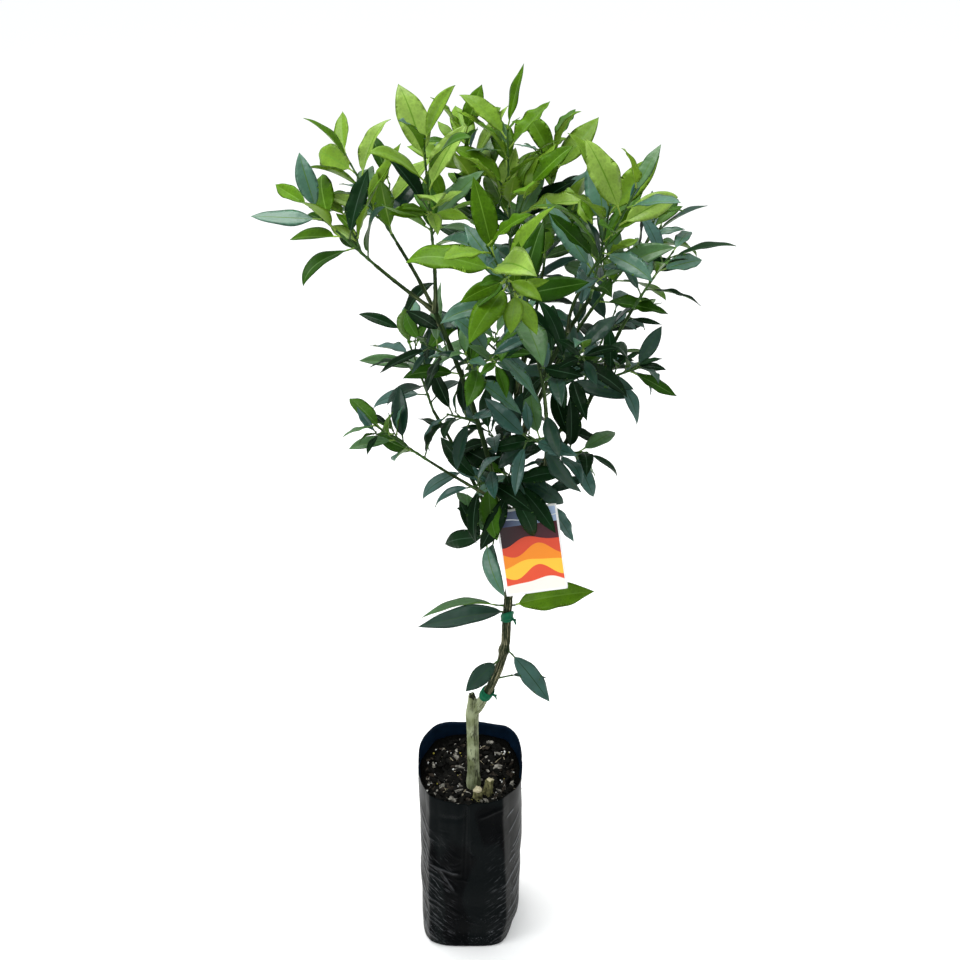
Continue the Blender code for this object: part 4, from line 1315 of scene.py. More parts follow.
# %% The form of one leaf
def leaf_form(chance, age):
    """How this one leaf folds, waves, rolls and twists."""
    return {
        "stalk": STALK_SHARE,
        "slimness": SLIMNESS[age],
        "fold": chance.triangular(6, 46, 22),
        "curl": chance.uniform(0.0, 0.26),
        "waves": chance.uniform(1.4, 3.2),
        "wave": chance.uniform(0.02, 0.15),
        "phase": chance.uniform(0, tau),
        "tip_droop": chance.uniform(-14, 52),
        "sideways": chance.uniform(-0.10, 0.10),
        "roll": chance.uniform(-20, 20),
        "twist": chance.uniform(-30, 30),
    }


trial_form = leaf_form(random.Random("trial"), "mid")
trial = leaf_shape(leaves["front_leaves"][0][1], trial_form, STATIONS["full"])
print("one leaf has", len(trial[0]), "points and", len(trial[1]), "faces")

# %% [markdown]
# ## Leaf finishes
# Age sets a leaf's colour. The newest are yellow-green and almost glow, those below them are a mid
# green, and old leaves are a dark blue-green with a waxy sheen over a lighter, yellower underside.
# One finish couldn't hold that, so there is one for each age and face, and the upper faces have
# four tints for each age. The last two are paler, partly as painted sheen of the sky, and waxy. They
# are dealt out leaf by leaf. Mottling, pores and, on young leaves, a net of veins keep each from
# looking like painted plastic.

# %% Leaf materials
Skin = namedtuple("Skin", "colour shine coat")
# The last two tints of each age are paler, and that paleness is partly painted sheen of the sky.
UPPER_SKINS = {  # four tints for each age: the last two are paler with wax
    "bright": (
        ("567F14", 0.07, 0), ("446B0A", 0.05, 0), ("6B9024", 0.12, 0), ("84A640", 0.20, 0.05),
    ),
    "mid": (
        ("3A6314", 0.07, 0), ("264A0C", 0.05, 0), ("4C7244", 0.20, 0.10), ("46705A", 0.25, 0.25),
    ),
    "dark": (
        ("0F2C12", 0.06, 0), ("0A200C", 0.04, 0), ("19392B", 0.15, 0.15), ("2F554B", 0.20, 0.25),
    ),
}
AGES = ("bright", "mid", "dark")
OTHER_SKINS = {  # a colour for each age, how dark its patches are, and its shine
    "rib": (("5C8420", "466A2A", "24412A"), 0.85, 0.15),
    "lower": (("6F9226", "4A7016", "3A5A22"), 0.75, 0.10),
    "stalk": (("86A23C", "6E8E38", "41582C"), 0.8, 0.20),
}
TINTS = 4
UPPER_DEPTH = 0.72
NET_SCALE = 270  # cells a metre between the finest veins
NET_SHARES = {"bright": 0.45, "mid": 0.25, "dark": 0}  # young leaves show their net of veins best
NET_DEPTH = 0.55
COAT_ROUGHNESS = 0.28


def leaf_paint(code, depth, net=0):
    """Mottled skin: `depth` is how dark its patches are, `net` how plainly its veins show."""

    def paint(start):
        light = tint(code)
        patches = grain(start, 55.0, detail=4.0)
        pores = grain(start, 1400.0, detail=1.0)
        colour = between(ramped(patches, 0.32, 0.66), darker(light, depth), light)
        if net:
            to_edge = {"feature": "DISTANCE_TO_EDGE"}
            place = {"Vector": start.node("TexCoord", out="Object"), "Scale": NET_SCALE}
            cells = start.node("TexVoronoi", to_edge, place, out="Distance")
            colour = between(ramped(cells, 0.02, 0.28) * net, colour, darker(light, NET_DEPTH))
        rough = 0.30 + patches * 0.16
        return {"Base Color": colour, "Roughness": rough, "Normal": bumped(pores, 0.12, 0.0002)}

    return paint


def leaf_finishes(age):
    """The finishes of one age, in the order of the face numbers, four tints in turn."""
    others = []
    for part, (colours, depth, shine) in OTHER_SKINS.items():
        paint = leaf_paint(colours[AGES.index(age)], depth)
        others.append(finish(f"leaf_{age}_{part}", paint, shine))
    made = []
    for number, row in enumerate(UPPER_SKINS[age]):
        skin = Skin(*row)
        paint = leaf_paint(skin.colour, UPPER_DEPTH, NET_SHARES[age])
        wax = {"Coat_Weight": skin.coat, "Coat_Roughness": COAT_ROUGHNESS}
        made += [finish(f"leaf_{age}_upper_{number}", paint, skin.shine, **wax), *others]
    return made


leaf_looks = [each for age in AGES for each in leaf_finishes(age)]
print(len(set(leaf_looks)), "leaf finishes")

# %% [markdown]
# ## Leaves in three pieces
# A crown's leaves could be one object each, but thousands of objects are slow. They are gathered by
# the age of their shoot into three meshes. A young shoot is bright towards its tip and plainer
# below, and now and then a leaf is of another age, as on the live tree.

# %% Leaves into three pieces
BRIGHT_FROM = 0.42  # a young shoot's leaves are bright above this share of it, give or take
BRIGHT_SHIFT = 0.12
TONE_AGES = {"young": ("mid", "bright"), "mid": ("mid", "mid"), "mature": ("dark", "dark")}
# now and then a leaf is of another age: which, and how often
SURPRISES = {"mid": ("dark", 0.40), "dark": ("mid", 0.12), "bright": ("mid", 0.24)}


def age_of(mass, share, chance):
    age = TONE_AGES[mass.tone][share + chance.uniform(-BRIGHT_SHIFT, BRIGHT_SHIFT) > BRIGHT_FROM]
    other, odds = SURPRISES[age]
    return other if chance.random() < odds else age


def add_leaves(pile, name, mass, sizes):
    chance = random.Random(f"{name} {mass.seed} looks")
    for size, placed in sizes:
        for share, leaf in placed:
            age = age_of(mass, share, chance)
            form = leaf_form(chance, age)
            number = chance.randrange(TINTS)
            if name in LARGE_LEAVES:
                slimness, fold, number = LARGE_LEAVES[name]
                form.update(slimness=slimness, fold=fold, stalk=LARGE_STALK)
                form.update(tip_droop=LARGE_TIP_DROOP, roll=0, twist=0)
            points, faces, looks = leaf_shape(leaf, form, STATIONS[size])
            first = (AGES.index(age) * TINTS + number) * (1 + len(OTHER_SKINS))
            pile.add(points, faces, [first + look for look in looks])


for tone, slot in (("young", "young_leaf"), ("mid", "mid_leaf"), ("mature", "mature_leaf")):
    names = [name for name, mass in MASSES.items() if mass.tone == tone]
    pile = Pile()
    for name in names:
        sizes = (("full", leaves[name]), ("small", small_leaves[name]))
        add_leaves(pile, name, MASSES[name], sizes)
    for name in LEAFY_BOUGHS if tone == BOUGH_MASS.tone else ():
        add_leaves(pile, name, BOUGH_MASS, (("full", joint_leaves[name]),))
    pile.piece(f"{tone}_leaves", leaf_looks, slot, names)

# %% [markdown]
# ## Green twigs
# The stem of a shoot runs on from its bough without a step. It is green, slightly angled, and
# swells where each leaf joins it. It could be one long tube with its bough, but its radius and its
# finish change at the joint, so each twig is a tube of its own.

# %% Twigs
TWIG_RING = 8
TWIG_STEP = 0.0025
TWIG_JOINT_SWELL = 0.35
TWIG_JOINT_REACH = 0.0018
TWIG_TIP = 0.0006
TWIG_CORNERS = 0.00008
# how far past the twig's end, and how wide beside the end's radius, then the tip's
BUD = ((0.0012, 1.15), (0.0030, 0.4))
BARE_TWIG_JOINTS = (0.2, 0.55)
SMALL_TWIG_JOINTS = (0.4, 0.8)
SMALL_TWIG_RADIUS = 0.0009


def three_cornered(_, turn):
    """A young twig is faintly three-cornered."""
    return TWIG_CORNERS * cos(3 * turn)


def add_twig(pile, line, radii, joints):
    """A tapering twig with a swelling at each joint and a bud at its end."""
    smooth = smooth_line(line, TWIG_STEP)
    whole = sum((after - before).length for before, after in zip(smooth, smooth[1:]))
    swollen = []
    for share in shares_of(smooth):
        near = min((abs(joint - share) * whole for joint in joints), default=1.0)
        swollen.append(mixed(radii, share) * (1 + TWIG_JOINT_SWELL * hump(near, TWIG_JOINT_REACH)))
    way = (smooth[-1] - smooth[-2]).normalized()
    smooth += [smooth[-1] + way * far for far, _ in BUD]
    swollen += [swollen[-1] * BUD[0][1], TWIG_TIP * BUD[1][1]]
    pile.add(*tube(smooth, swollen, TWIG_RING, three_cornered))


green = grained("20391A", "426428", 300.0, (1, 1, 0.4), 4.0, (0.3, 0.7), (0.38, 0.2), (0.4, 0.0004))
twigs = Pile()
for name in MASSES:
    joints = [share for share, _ in leaves[name]]
    for number, stem in enumerate(stems[name]):
        add_twig(twigs, stem, TWIG_RADII, joints if number == 0 else BARE_TWIG_JOINTS)
    for twig in small_twigs[name]:
        add_twig(twigs, twig, (SMALL_TWIG_RADIUS, TWIG_TIP), SMALL_TWIG_JOINTS)
twigs.piece("green_twigs", [finish("twig_skin", green, 0.15)], "green_bark")

# %% [markdown]
# ## The planter bag
# The bag is thin black polythene with gussets. It was stored folded flat, so a crease runs down the
# middle of each face, the corners of the front panel are sharp folds, and drawn film hangs in
# slanting creases towards the foot. A cloth simulation would find folds of its own, in other places
# each time the mesh changes. Here each crease is a named line on the film that lifts or sinks it
# like a tent, so every face has the ones that the real bag shows.

# %% The film's outline
BAG_HALF = (0.0725, 0.0700)
BAG_FOOT_SHARE = 0.99
BAG_SQUARENESS = (4.0, 2.6)  # at the foot and above the shoulder
BAG_FRONT_RIM = 0.300
BAG_SHOULDER = 0.262  # the bag rounds off up to here
FOOT_ROUNDING = 0.004
TUCK_HEIGHT = 0.052
TUCK_SHARE = 0.20
FILM_COLUMNS = 340
FILM_ROWS = 205
LINING_ROWS = 60
FILM_THICKNESS = 0.0005


def rounded_square(turn, squareness):
    """x and y from -1 to 1 at a turn round the bag."""
    return [np.sign(f(turn)) * np.abs(f(turn)) ** (2 / squareness) for f in (np.cos, np.sin)]


def film_outline():
    """Turns from the middle of the bag's front all the way round, and the way to each in metres."""
    turn = np.radians(np.linspace(-90, 270, 7201))
    x, y = rounded_square(turn, sum(BAG_SQUARENESS) / 2)
    step = np.hypot(np.diff(x * BAG_HALF[0]), np.diff(y * BAG_HALF[1]))
    return turn, np.concatenate(([0], np.cumsum(step)))


outline_turn, outline_way = film_outline()
film_round = outline_way[-1]
film_way = np.linspace(0, film_round, FILM_COLUMNS, endpoint=False)
QUARTER = film_round / 4
print("the bag is", round(film_round, 3), "m round")

# %% Creases
Crease = namedtuple("Crease", "start low end high width lift")


def named_creases():
    """Creases at known places: the faces' middles, the panels' edges and a few drawn folds."""
    made = [
        Crease(-0.011, 0.13, -0.010, 0.31, 0.0045, -0.0020),
        Crease(-0.025, 0.15, -0.022, 0.31, 0.010, 0.0022),
        Crease(0.003, 0.17, 0.001, 0.31, 0.009, 0.0018),
        Crease(-0.060, 0.02, -0.059, 0.32, 0.010, 0.0030),
        Crease(0.050, 0.02, 0.049, 0.32, 0.010, 0.0026),
        Crease(-0.064, 0.172, -0.014, 0.158, 0.006, 0.0016),
        Crease(-0.046, 0.168, -0.020, 0.120, 0.005, 0.0015),
        Crease(-0.040, 0.24, -0.030, 0.165, 0.014, 0.0016),
        Crease(0.012, 0.23, 0.020, 0.155, 0.018, 0.0014),
        Crease(-0.046, 0.265, -0.012, 0.272, 0.008, -0.0010),
        Crease(0.018, 0.270, 0.052, 0.285, 0.005, 0.0012),
    ]
    for face in (1, 2, 3):
        middle = face * QUARTER
        sunk = -0.0014 if face == 2 else -0.0028
        made.append(Crease(middle - 0.003, 0.05, middle + 0.004, 0.32, 0.006, sunk))
        for edge in (-0.056, 0.056) if face == 2 else ():
            made.append(Crease(middle + edge, 0.03, middle + edge * 0.98, 0.32, 0.010, 0.0024))
    return made


def drawn_creases(chance):
    """Slanting creases that fall from each gusset, round a corner, to the broad face's foot."""
    made = []
    for corner in range(4):
        fold = (corner + 0.5) * QUARTER
        inward = -1 if corner % 2 == 0 else 1
        for number in range(15):
            top = 0.262 - 0.0165 * number + chance.uniform(-0.006, 0.006)
            begin = fold - inward * chance.uniform(0.006, 0.040)
            end = fold + inward * chance.uniform(-0.002, 0.034) * (1 if top < 0.2 else 0.3)
            fall = abs(end - begin) * chance.uniform(0.5, 0.95)
            lift = chance.uniform(0.0006, 0.0013) * (1 if top < 0.2 else 0.6)
            width = chance.uniform(0.0028, 0.0045)
            made.append(Crease(begin, top, end, max(top - fall, 0.004), width, lift))
    return made


def small_creases(chance, count):
    """Short crumples all over, more of them low down."""
    made = []
    for _ in range(count):
        begin = chance.uniform(0, film_round)
        low = 0.004 + 0.27 * chance.random() ** 1.7
        turn = chance.uniform(-1.2, 1.2)
        long = chance.uniform(0.007, 0.026)
        far = low + long * sin(turn)
        lift = chance.uniform(-0.0006, 0.0007)
        made.append(Crease(begin, low, begin + long * cos(turn), max(far, 0.002), 0.0032, lift))
    return made


print(len(named_creases()), "creases at known places")

# %% All the creases
def crease_lift(way, height, crease):
    """How far one crease lifts the film: a tent across its line that fades at the line's ends."""
    across = (way - crease.start + film_round / 2) % film_round - film_round / 2
    line = np.array((crease.end - crease.start, crease.high - crease.low))
    long = np.hypot(*line)
    line = line / long
    beside = across * line[1] - (height - crease.low) * line[0]
    beyond = across * line[0] + (height - crease.low) * line[1]
    fade = np.clip(np.minimum(beyond, long - beyond) / (0.25 * long) + 0.4, 0, 1)
    return crease.lift * fade * np.clip(1 - np.abs(beside) / crease.width, 0, 1)


DRAWN_FOLDS = slice(5, 7)  # the named creases that are drawn folds as well
SMALL_CREASES = 170

film_chance = random.Random("film")
named, drawn = named_creases(), drawn_creases(film_chance)
sharp_creases = named[DRAWN_FOLDS] + drawn
creases = named + drawn + small_creases(film_chance, SMALL_CREASES)
print(len(creases), "creases")

# %% How far the film lies in or out
SAG = 0.0022
SAG_SCALE = 22
SAG_FROM = 0.03  # the film's foot is held flat, and sags in full from this height up
RIM_LOWERED = 0.002  # so that its waves stay below the solid's rim


def film_lift(way, height):
    """Everything that moves the film in or out at a way round it and a height."""
    lift = sum(crease_lift(way, height, crease) for crease in creases)
    x, y = rounded_square(np.interp(way, outline_way, outline_turn), 2)
    place = np.stack((x * BAG_HALF[0], y * BAG_HALF[1], height), -1).reshape(-1, 3) * SAG_SCALE
    sag = np.array([noise.noise(Vector(point)) for point in place]).reshape(height.shape)
    return lift + SAG * sag * np.clip(height / SAG_FROM, 0, 1)


def rim_height(way):
    """The rim stands higher at the back, and waves a little."""
    back = np.sin(np.interp(way, outline_way, outline_turn))
    back = np.sign(back) * np.abs(back) ** (2 / BAG_SQUARENESS[1])
    wave = 0.0018 * np.sin(way * 47) + 0.0012 * np.sin(way * 110 + 1)
    return BAG_FRONT_RIM + (BAG_BACK_RIM - BAG_FRONT_RIM) * (0.5 + 0.5 * back) + wave - RIM_LOWERED


print("the rim stands", round(float(rim_height(0.0)), 3), "m high in front")

# %% The film as rings
def film_points(way, height, inset):
    """Points of the film at ways round it and heights, so far inside its outer face."""
    up = np.minimum(height / BAG_SHOULDER, 1)
    squareness = mixed(BAG_SQUARENESS, up)
    share = mixed((BAG_FOOT_SHARE, 1), up)
    x, y = rounded_square(np.interp(way, outline_way, outline_turn), squareness)
    foot = FOOT_ROUNDING * (1 - np.sqrt(1 - np.clip(1 - height / FOOT_ROUNDING, 0, 1) ** 2))
    out_x = np.sign(x) * np.abs(x) ** (squareness - 1) / BAG_HALF[0]
    out_y = np.sign(y) * np.abs(y) ** (squareness - 1) / BAG_HALF[1]
    size = np.hypot(out_x, out_y)
    move = film_lift(way, height) - inset - foot
    px = x * BAG_HALF[0] * share + out_x / size * move
    py = y * BAG_HALF[1] * share + out_y / size * move
    tuck = 1 - TUCK_SHARE * np.clip(1 - height / TUCK_HEIGHT, 0, 1)
    return np.stack((np.where(px > 0, px * tuck, px), py, height), -1)


def film_wall(rows, inset):
    """Rings up the bag's side from just above its foot to its rim, and their ways and heights."""
    share = np.linspace(0, 1, rows)[:, None] ** 1.1
    way = np.broadcast_to(film_way, (rows, FILM_COLUMNS))
    height = share * rim_height(way)
    return film_points(way, height, inset), way, height


def film_floor(edge, height):
    """Rings of the bag's underside from its middle out, with the gathers of a sealed foot."""
    rings = []
    for share in (0.04, 0.3, 0.6, 0.85):
        ring = edge * share
        gather = 0.0006 * np.sin(film_way * 190) * share * (1 - share) * 4
        ring[:, 2] = height + np.abs(gather)
        rings.append(ring)
    return rings


def gusset_mark(way):
    """1 on the two side gussets, 0 on the broad faces, with a soft step at each fold."""
    into = np.minimum(way - GUSSET_FOLDS[0], GUSSET_FOLDS[1] - way)
    beyond = np.minimum(way - GUSSET_FOLDS[2], GUSSET_FOLDS[3] - way)
    return np.clip(np.maximum(into, beyond) / 0.003 + 0.5, 0, 1)


def fold_mark(way, height):
    """Nearly 1 along the crest of each raised crease, where the film is painted pale as a highlight."""
    marks = [crease_lift(way, height, crease) / crease.lift for crease in sharp_creases]
    return np.max(marks, axis=0)


GUSSET_FOLDS = (0.050, 2 * QUARTER - 0.056, 2 * QUARTER + 0.056, film_round - 0.060)
outside, outside_way, outside_height = film_wall(FILM_ROWS, 0)
inside = film_wall(LINING_ROWS, FILM_THICKNESS)[0][::-1]
inside[-1, :, 2] = FILM_THICKNESS
under = film_floor(outside[0], 0)
over = film_floor(inside[-1], FILM_THICKNESS)[::-1]
film_rings = [*under, *outside, *inside, *over]
film_shape = np.concatenate(film_rings), ring_faces(numbered_rings(len(film_rings), FILM_COLUMNS))
wall = slice(len(under) * FILM_COLUMNS, (len(under) + FILM_ROWS) * FILM_COLUMNS)
film_looks = [int(face[0] >= wall.stop) for face in film_shape[1]]
gusset, fold = np.zeros(len(film_shape[0])), np.zeros(len(film_shape[0]))
gusset[wall] = gusset_mark(outside_way).ravel()
fold[wall] = fold_mark(outside_way, outside_height).ravel()
print("film moved by", round(1000 * np.ptp(film_lift(outside_way, outside_height)), 1), "mm in all")


# %% [markdown]
# ## The film's finish
# New polythene is black, with soft pools of painted sheen. Its gussets are painted a lighter grey as
# sheen, pale painted highlights run along its creases and in fine slanting streaks, and dust of the
# mix clings near the foot.
# Painting these on an image would need the bag's faces laid out flat, so they are patterns that
# read the marks of the gussets and creases.

# %% Film finishes
# The second black is painted sheen, laid on in soft pools.
FILM_BLACK_AND_SHEEN = ("000102", "060A0B")  # between the pools of sheen and in them
# Painted sheen that makes the gussets a lighter grey than the front.
FILM_GUSSET_SHEEN = "363635"
# Painted highlight along crease crests and fine streaks.
FILM_CREASE_HIGHLIGHT = "6E7073"
FILM_DUST = "6E7076"
STREAK_LEAN = (0.78, 0.62)  # cosine and sine of the streaks' slant
STREAK_FINE = 420  # across the streaks
STREAK_LONG = 50  # along them
STREAK_STRENGTH = 0.5
POOL_SCALE = 15
DUST_TOP = 0.085


def film_paint(start):
    """Black film with pools of painted sheen, greyer gussets and pale creases and streaks as painted light,
    and dust at its foot.
    """
    crumple = grain(start, 130.0, (1, 1, 0.5), 6.0)
    place = start.node("TexCoord", out="Object")
    x, y, height = [start.node("SeparateXYZ", None, {0: place}, out=axis) for axis in "XYZ"]
    aside = x.math("ABSOLUTE", x) - y.math("ABSOLUTE", y)
    lean, fall = STREAK_LEAN
    slant = {
        0: (height * lean - aside * fall) * STREAK_FINE,
        1: (height * fall + aside * lean) * STREAK_LONG,
    }
    slant = start.node("CombineXYZ", None, slant)
    streaks = start.node("TexNoise", None, {"Vector": slant, "Scale": 1.0})
    drawn = ramped(aside, -0.052, -0.012) * ramped(height, 0.25, 0.12)
    # The streaks are pale painted highlights along fine wrinkles, on the gussets and low down; they also
    # feed the bump.
    streaks = ramped(streaks, 0.56, 0.72) * drawn
    on_gusset = marked(start, "gusset")
    crest = marked(start, "fold") + grain(start, 90.0) * 0.5
    # Painted highlight along the crest of each sharp crease, stronger on the gussets.
    pale = ramped(crest, 0.86, 1.26) * (on_gusset * 0.6 + 0.25)
    dust = ramped(grain(start, 420.0, detail=2.0), 0.60, 0.74)
    dust = dust * ramped(height, DUST_TOP, 0.01) * 0.5
    dust = dust * ramped(grain(start, 55.0), 0.46, 0.60)
    # Soft pools of painted sheen on the black film.
    pools = ramped(grain(start, POOL_SCALE, (1, 1, 0.45), 1.0), 0.46, 0.50)
    plain = between(pools, *map(tint, FILM_BLACK_AND_SHEEN))
    # The gussets are painted a lighter grey: painted sheen.
    colour = between(on_gusset * (0.5 + 0.5 * grain(start, 24.0)), plain, tint(FILM_GUSSET_SHEEN))
    colour = between(pale, colour, tint(FILM_CREASE_HIGHLIGHT))
    colour = between(streaks * STREAK_STRENGTH, colour, tint(FILM_CREASE_HIGHLIGHT))
    colour = between(dust, colour, tint(FILM_DUST))
    rough = 0.16 + crumple * 0.10 + on_gusset * 0.16 + dust * 0.4
    relief = bumped(crumple + streaks, 0.3, 0.0009)
    return {"Base Color": colour, "Roughness": rough, "Normal": relief}


lining_paint = grained(
    "040A13", "0C2136", 110.0, detail=4.0, rough=(0.32, 0.15), bump=(0.3, 0.0010)
)
bag = Pile()
bag.add(*film_shape, film_looks, gusset=gusset, fold=fold)
film_finishes = [
    finish("film_outside", film_paint, 0.02),
    finish("film_lining", lining_paint, 0.14),
]
bag.piece("planter_film", film_finishes, "film", ["planter_bag"])

# %% [markdown]
# ## The potting mix
# The mix is dark composted bark with pale fibres, white perlite and a few yellow grains of feed.
# Its surface is a lumpy skin, and a few hundred loose bits are scattered on it. A displaced texture
# would be quicker, but it would smear at the bag's edge. Each bit is its own small shape laid on
# the surface at a height read from the same noise, so none floats. Fibres lie on the mix in the
# same way, and short stubs of pruned wood lean by the trunk.

# %% The mix's surface
MIX_GAP = 0.0009
MIX_RINGS = 26
MIX_COLUMNS = 120
LUMP_HEIGHT = 0.0060
MOUND = 0.004
REAR_RISE = 0.018  # how much the mix climbs behind the trunk, and from where and over what way
REAR_FROM = 0.02
REAR_OVER = 0.06
LEVEL_TO = 0.009  # level so far from the trunk's middle, and lumpy beyond the next way
LEVEL_OVER = 0.012
# heights of the mix's side, and how far inside the film it lies there
MIX_SIDE = ((0.004, 0.012), (0.02, 0.006), (0.24, 0.006), (0.265, 0.0009))


def mix_height(x, y):
    """Height of the lumpy surface, which is level where the trunk comes out of it."""
    reach = hypot(x - TRUNK_FOOT[0], y - TRUNK_FOOT[1])
    lumps = 0.45 + 0.5 * noise_at(x * 55, y * 55, 3) + 0.28 * noise_at(x * 230, y * 230, 7)
    behind = max(0, y - TRUNK_FOOT[1] - REAR_FROM) / REAR_OVER
    mound = LUMP_HEIGHT * lumps + MOUND * (0.5 - reach * 6) + REAR_RISE * behind
    return SOIL_TOP + min(1, max(0, reach - LEVEL_TO) / LEVEL_OVER) * mound


def mix_shape():
    way = np.linspace(0, film_round, MIX_COLUMNS, endpoint=False)
    rings = []
    for height, inset in MIX_SIDE:
        rings.append(film_points(way, np.full(MIX_COLUMNS, height), inset))
    edge = film_points(way, np.full(MIX_COLUMNS, SOIL_TOP), MIX_GAP)
    middle = np.array((*TRUNK_FOOT, SOIL_TOP))
    for step in range(MIX_RINGS):
        ring = edge + (middle - edge) * step / MIX_RINGS
        ring[:, 2] = [mix_height(x, y) for x, y in ring[:, :2]]
        rings.append(ring)
    return np.concatenate(rings), ring_faces(numbered_rings(len(rings), MIX_COLUMNS))


crumbs = grained(
    "020202", "10100D", 520.0, detail=5.0, ramp=(0.38, 0.72), rough=(0.92, 0), bump=(0.9, 0.0020)
)
mix = Pile()
mix.add(*mix_shape())
mix.piece("potting_mix_bed", [finish("mix_bed", crumbs, 0.05)], "mix", ["potting_mix"])

# %% Loose bits on the mix
GOLDEN = (1 + 5**0.5) / 2
NUGGET = [
    (-1, GOLDEN, 0), (1, GOLDEN, 0), (-1, -GOLDEN, 0), (1, -GOLDEN, 0),
    (0, -1, GOLDEN), (0, 1, GOLDEN), (0, -1, -GOLDEN), (0, 1, -GOLDEN),
    (GOLDEN, 0, -1), (GOLDEN, 0, 1), (-GOLDEN, 0, -1), (-GOLDEN, 0, 1),
]
NUGGET = np.array(NUGGET) / hypot(1, GOLDEN)
NUGGET_FACES = (
    (0, 11, 5), (0, 5, 1), (0, 1, 7), (0, 7, 10), (0, 10, 11), (1, 5, 9), (5, 11, 4),
    (11, 10, 2), (10, 7, 6), (7, 1, 8), (3, 9, 4), (3, 4, 2), (3, 2, 6), (3, 6, 8),
    (3, 8, 9), (4, 9, 5), (2, 4, 11), (6, 2, 10), (8, 6, 7), (9, 8, 1),
)
Bits = namedtuple("Bits", "count long wide thick jitter colour darkest")
BITS = {
    "black_chips": Bits(430, (0.004, 0.0140), 0.6, 0.5, 0.35, "0F0F0C", 0.35),
    "bark_chips": Bits(150, (0.004, 0.0120), 0.5, 0.45, 0.35, "37312A", 0.25),
    "grey_chips": Bits(95, (0.004, 0.0145), 0.50, 0.4, 0.35, "8F8C83", 0.25),
    "perlite": Bits(85, (0.0014, 0.0046), 0.85, 0.80, 0.25, "D2D3CF", 0.75),
    "feed_grains": Bits(30, (0.0018, 0.0034), 0.95, 0.95, 0.06, "9C9440", 0.7),
}
TRUNK_CLEAR = 0.012


def spot(chance, margin):
    """A place on the mix, off the trunk and inside the film."""
    while True:
        x, y = chance.uniform(-1, 1), chance.uniform(-1, 1)
        inside_film = abs(x) ** BAG_SQUARENESS[1] + abs(y) ** BAG_SQUARENESS[1] < 1
        x, y = x * (BAG_HALF[0] - margin), y * (BAG_HALF[1] - margin)
        if inside_film and hypot(x - TRUNK_FOOT[0], y - TRUNK_FOOT[1]) > TRUNK_CLEAR:
            return x, y


def add_bit(pile, bits, chance):
    """One angular bit, tipped a little and half sunk in the mix."""
    long = chance.uniform(*bits.long)
    jitter = np.array([chance.uniform(-1, 1) for _ in NUGGET])
    shape = NUGGET * (1 + bits.jitter * jitter)[:, None]
    shape = shape * np.array((long, long * bits.wide, long * bits.thick)) / 2
    turned = Matrix.Rotation(chance.uniform(0, tau), 3, "Z")
    tipped = turned @ Matrix.Rotation(chance.uniform(-0.7, 0.7), 3, "X")
    x, y = spot(chance, long / 2 + 0.006)
    place = np.array((x, y, mix_height(x, y) + long * bits.thick * 0.24))
    pile.add(shape @ np.array(tipped).T + place, NUGGET_FACES)


def bit_paint(bits):
    def paint(start):
        light = tint(bits.colour)
        patches = ramped(grain(start, 190.0), 0.35, 0.65)
        colour = between(patches, darker(light, bits.darkest), light)
        speckle = grain(start, 1500.0, detail=1.0)
        return {"Base Color": colour, "Roughness": 0.85, "Normal": bumped(speckle, 0.4, 0.0004)}

    return paint


for name, bits in BITS.items():
    chance = random.Random(name)
    pile = Pile()
    for _ in range(bits.count):
        add_bit(pile, bits, chance)
    pile.piece(name, [finish(name, bit_paint(bits), 0.10)], "mix", smooth=name == "feed_grains")

# %% Fibres and the prunings by the trunk
FIBRES = 32
FIBRE_LONG = (0.010, 0.034)
Pruning = namedtuple("Pruning", "foot lean long radius")
PRUNINGS = (
    Pruning((0.011, -0.038), (-110, 88), 0.024, 0.0070),
    Pruning((0.023, -0.030), (40, 86), 0.028, 0.0074),
    Pruning((0.012, -0.050), (-60, 40), 0.016, 0.0060),
)
PRUNING_STEPS = 10
PRUNING_SIDES = 14
PRUNING_BEND = -14  # degrees
PRUNING_SUNK = 0.004
PRUNING_LUMPS = 0.45  # of the radius
FIBRE_RADII = (0.4, 1, 1, 0.9, 0.8, 0.6, 0.3)  # shares of the radius along it
FIBRE_STEPS = len(FIBRE_RADII) - 1


def add_fibre(pile, chance):
    """A curved pale fibre that lies on the mix."""
    x, y = spot(chance, 0.020)
    long = chance.uniform(*FIBRE_LONG)
    azimuth, sway = chance.uniform(0, 360), chance.uniform(-60, 60)
    line = walk((x, y, 0), azimuth, 0, long, 0, sway, FIBRE_STEPS)
    arch = chance.uniform(0, 0.003)
    for index, point in enumerate(line):
        point.z = mix_height(point.x, point.y) + 0.0006 + arch * sin(pi * index / FIBRE_STEPS)
    radius = chance.uniform(0.0003, 0.0009)
    pile.add(*tube(line, [radius * share for share in FIBRE_RADII], 5))


def add_pruning(pile, pruning, chance):
    """A short stub of pruned wood that leans in the mix."""
    x, y = pruning.foot
    foot = (x, y, mix_height(x, y) - PRUNING_SUNK)
    line = walk(foot, *pruning.lean, pruning.long, PRUNING_BEND, 0, PRUNING_STEPS)
    radii = []
    for share in shares_of(line):
        uneven = 1 + chance.uniform(-0.13, 0.13)
        radii.append(pruning.radius * uneven * (1.05 - 0.35 * share))

    def lump(index, turn):
        return pruning.radius * PRUNING_LUMPS * noise_at(turn * 1.3, index * 0.35, x * 900)

    shape, faces = tube(line, radii, PRUNING_SIDES, lump)
    pile.add(shape, faces, [0] * (len(faces) - 1) + [1])


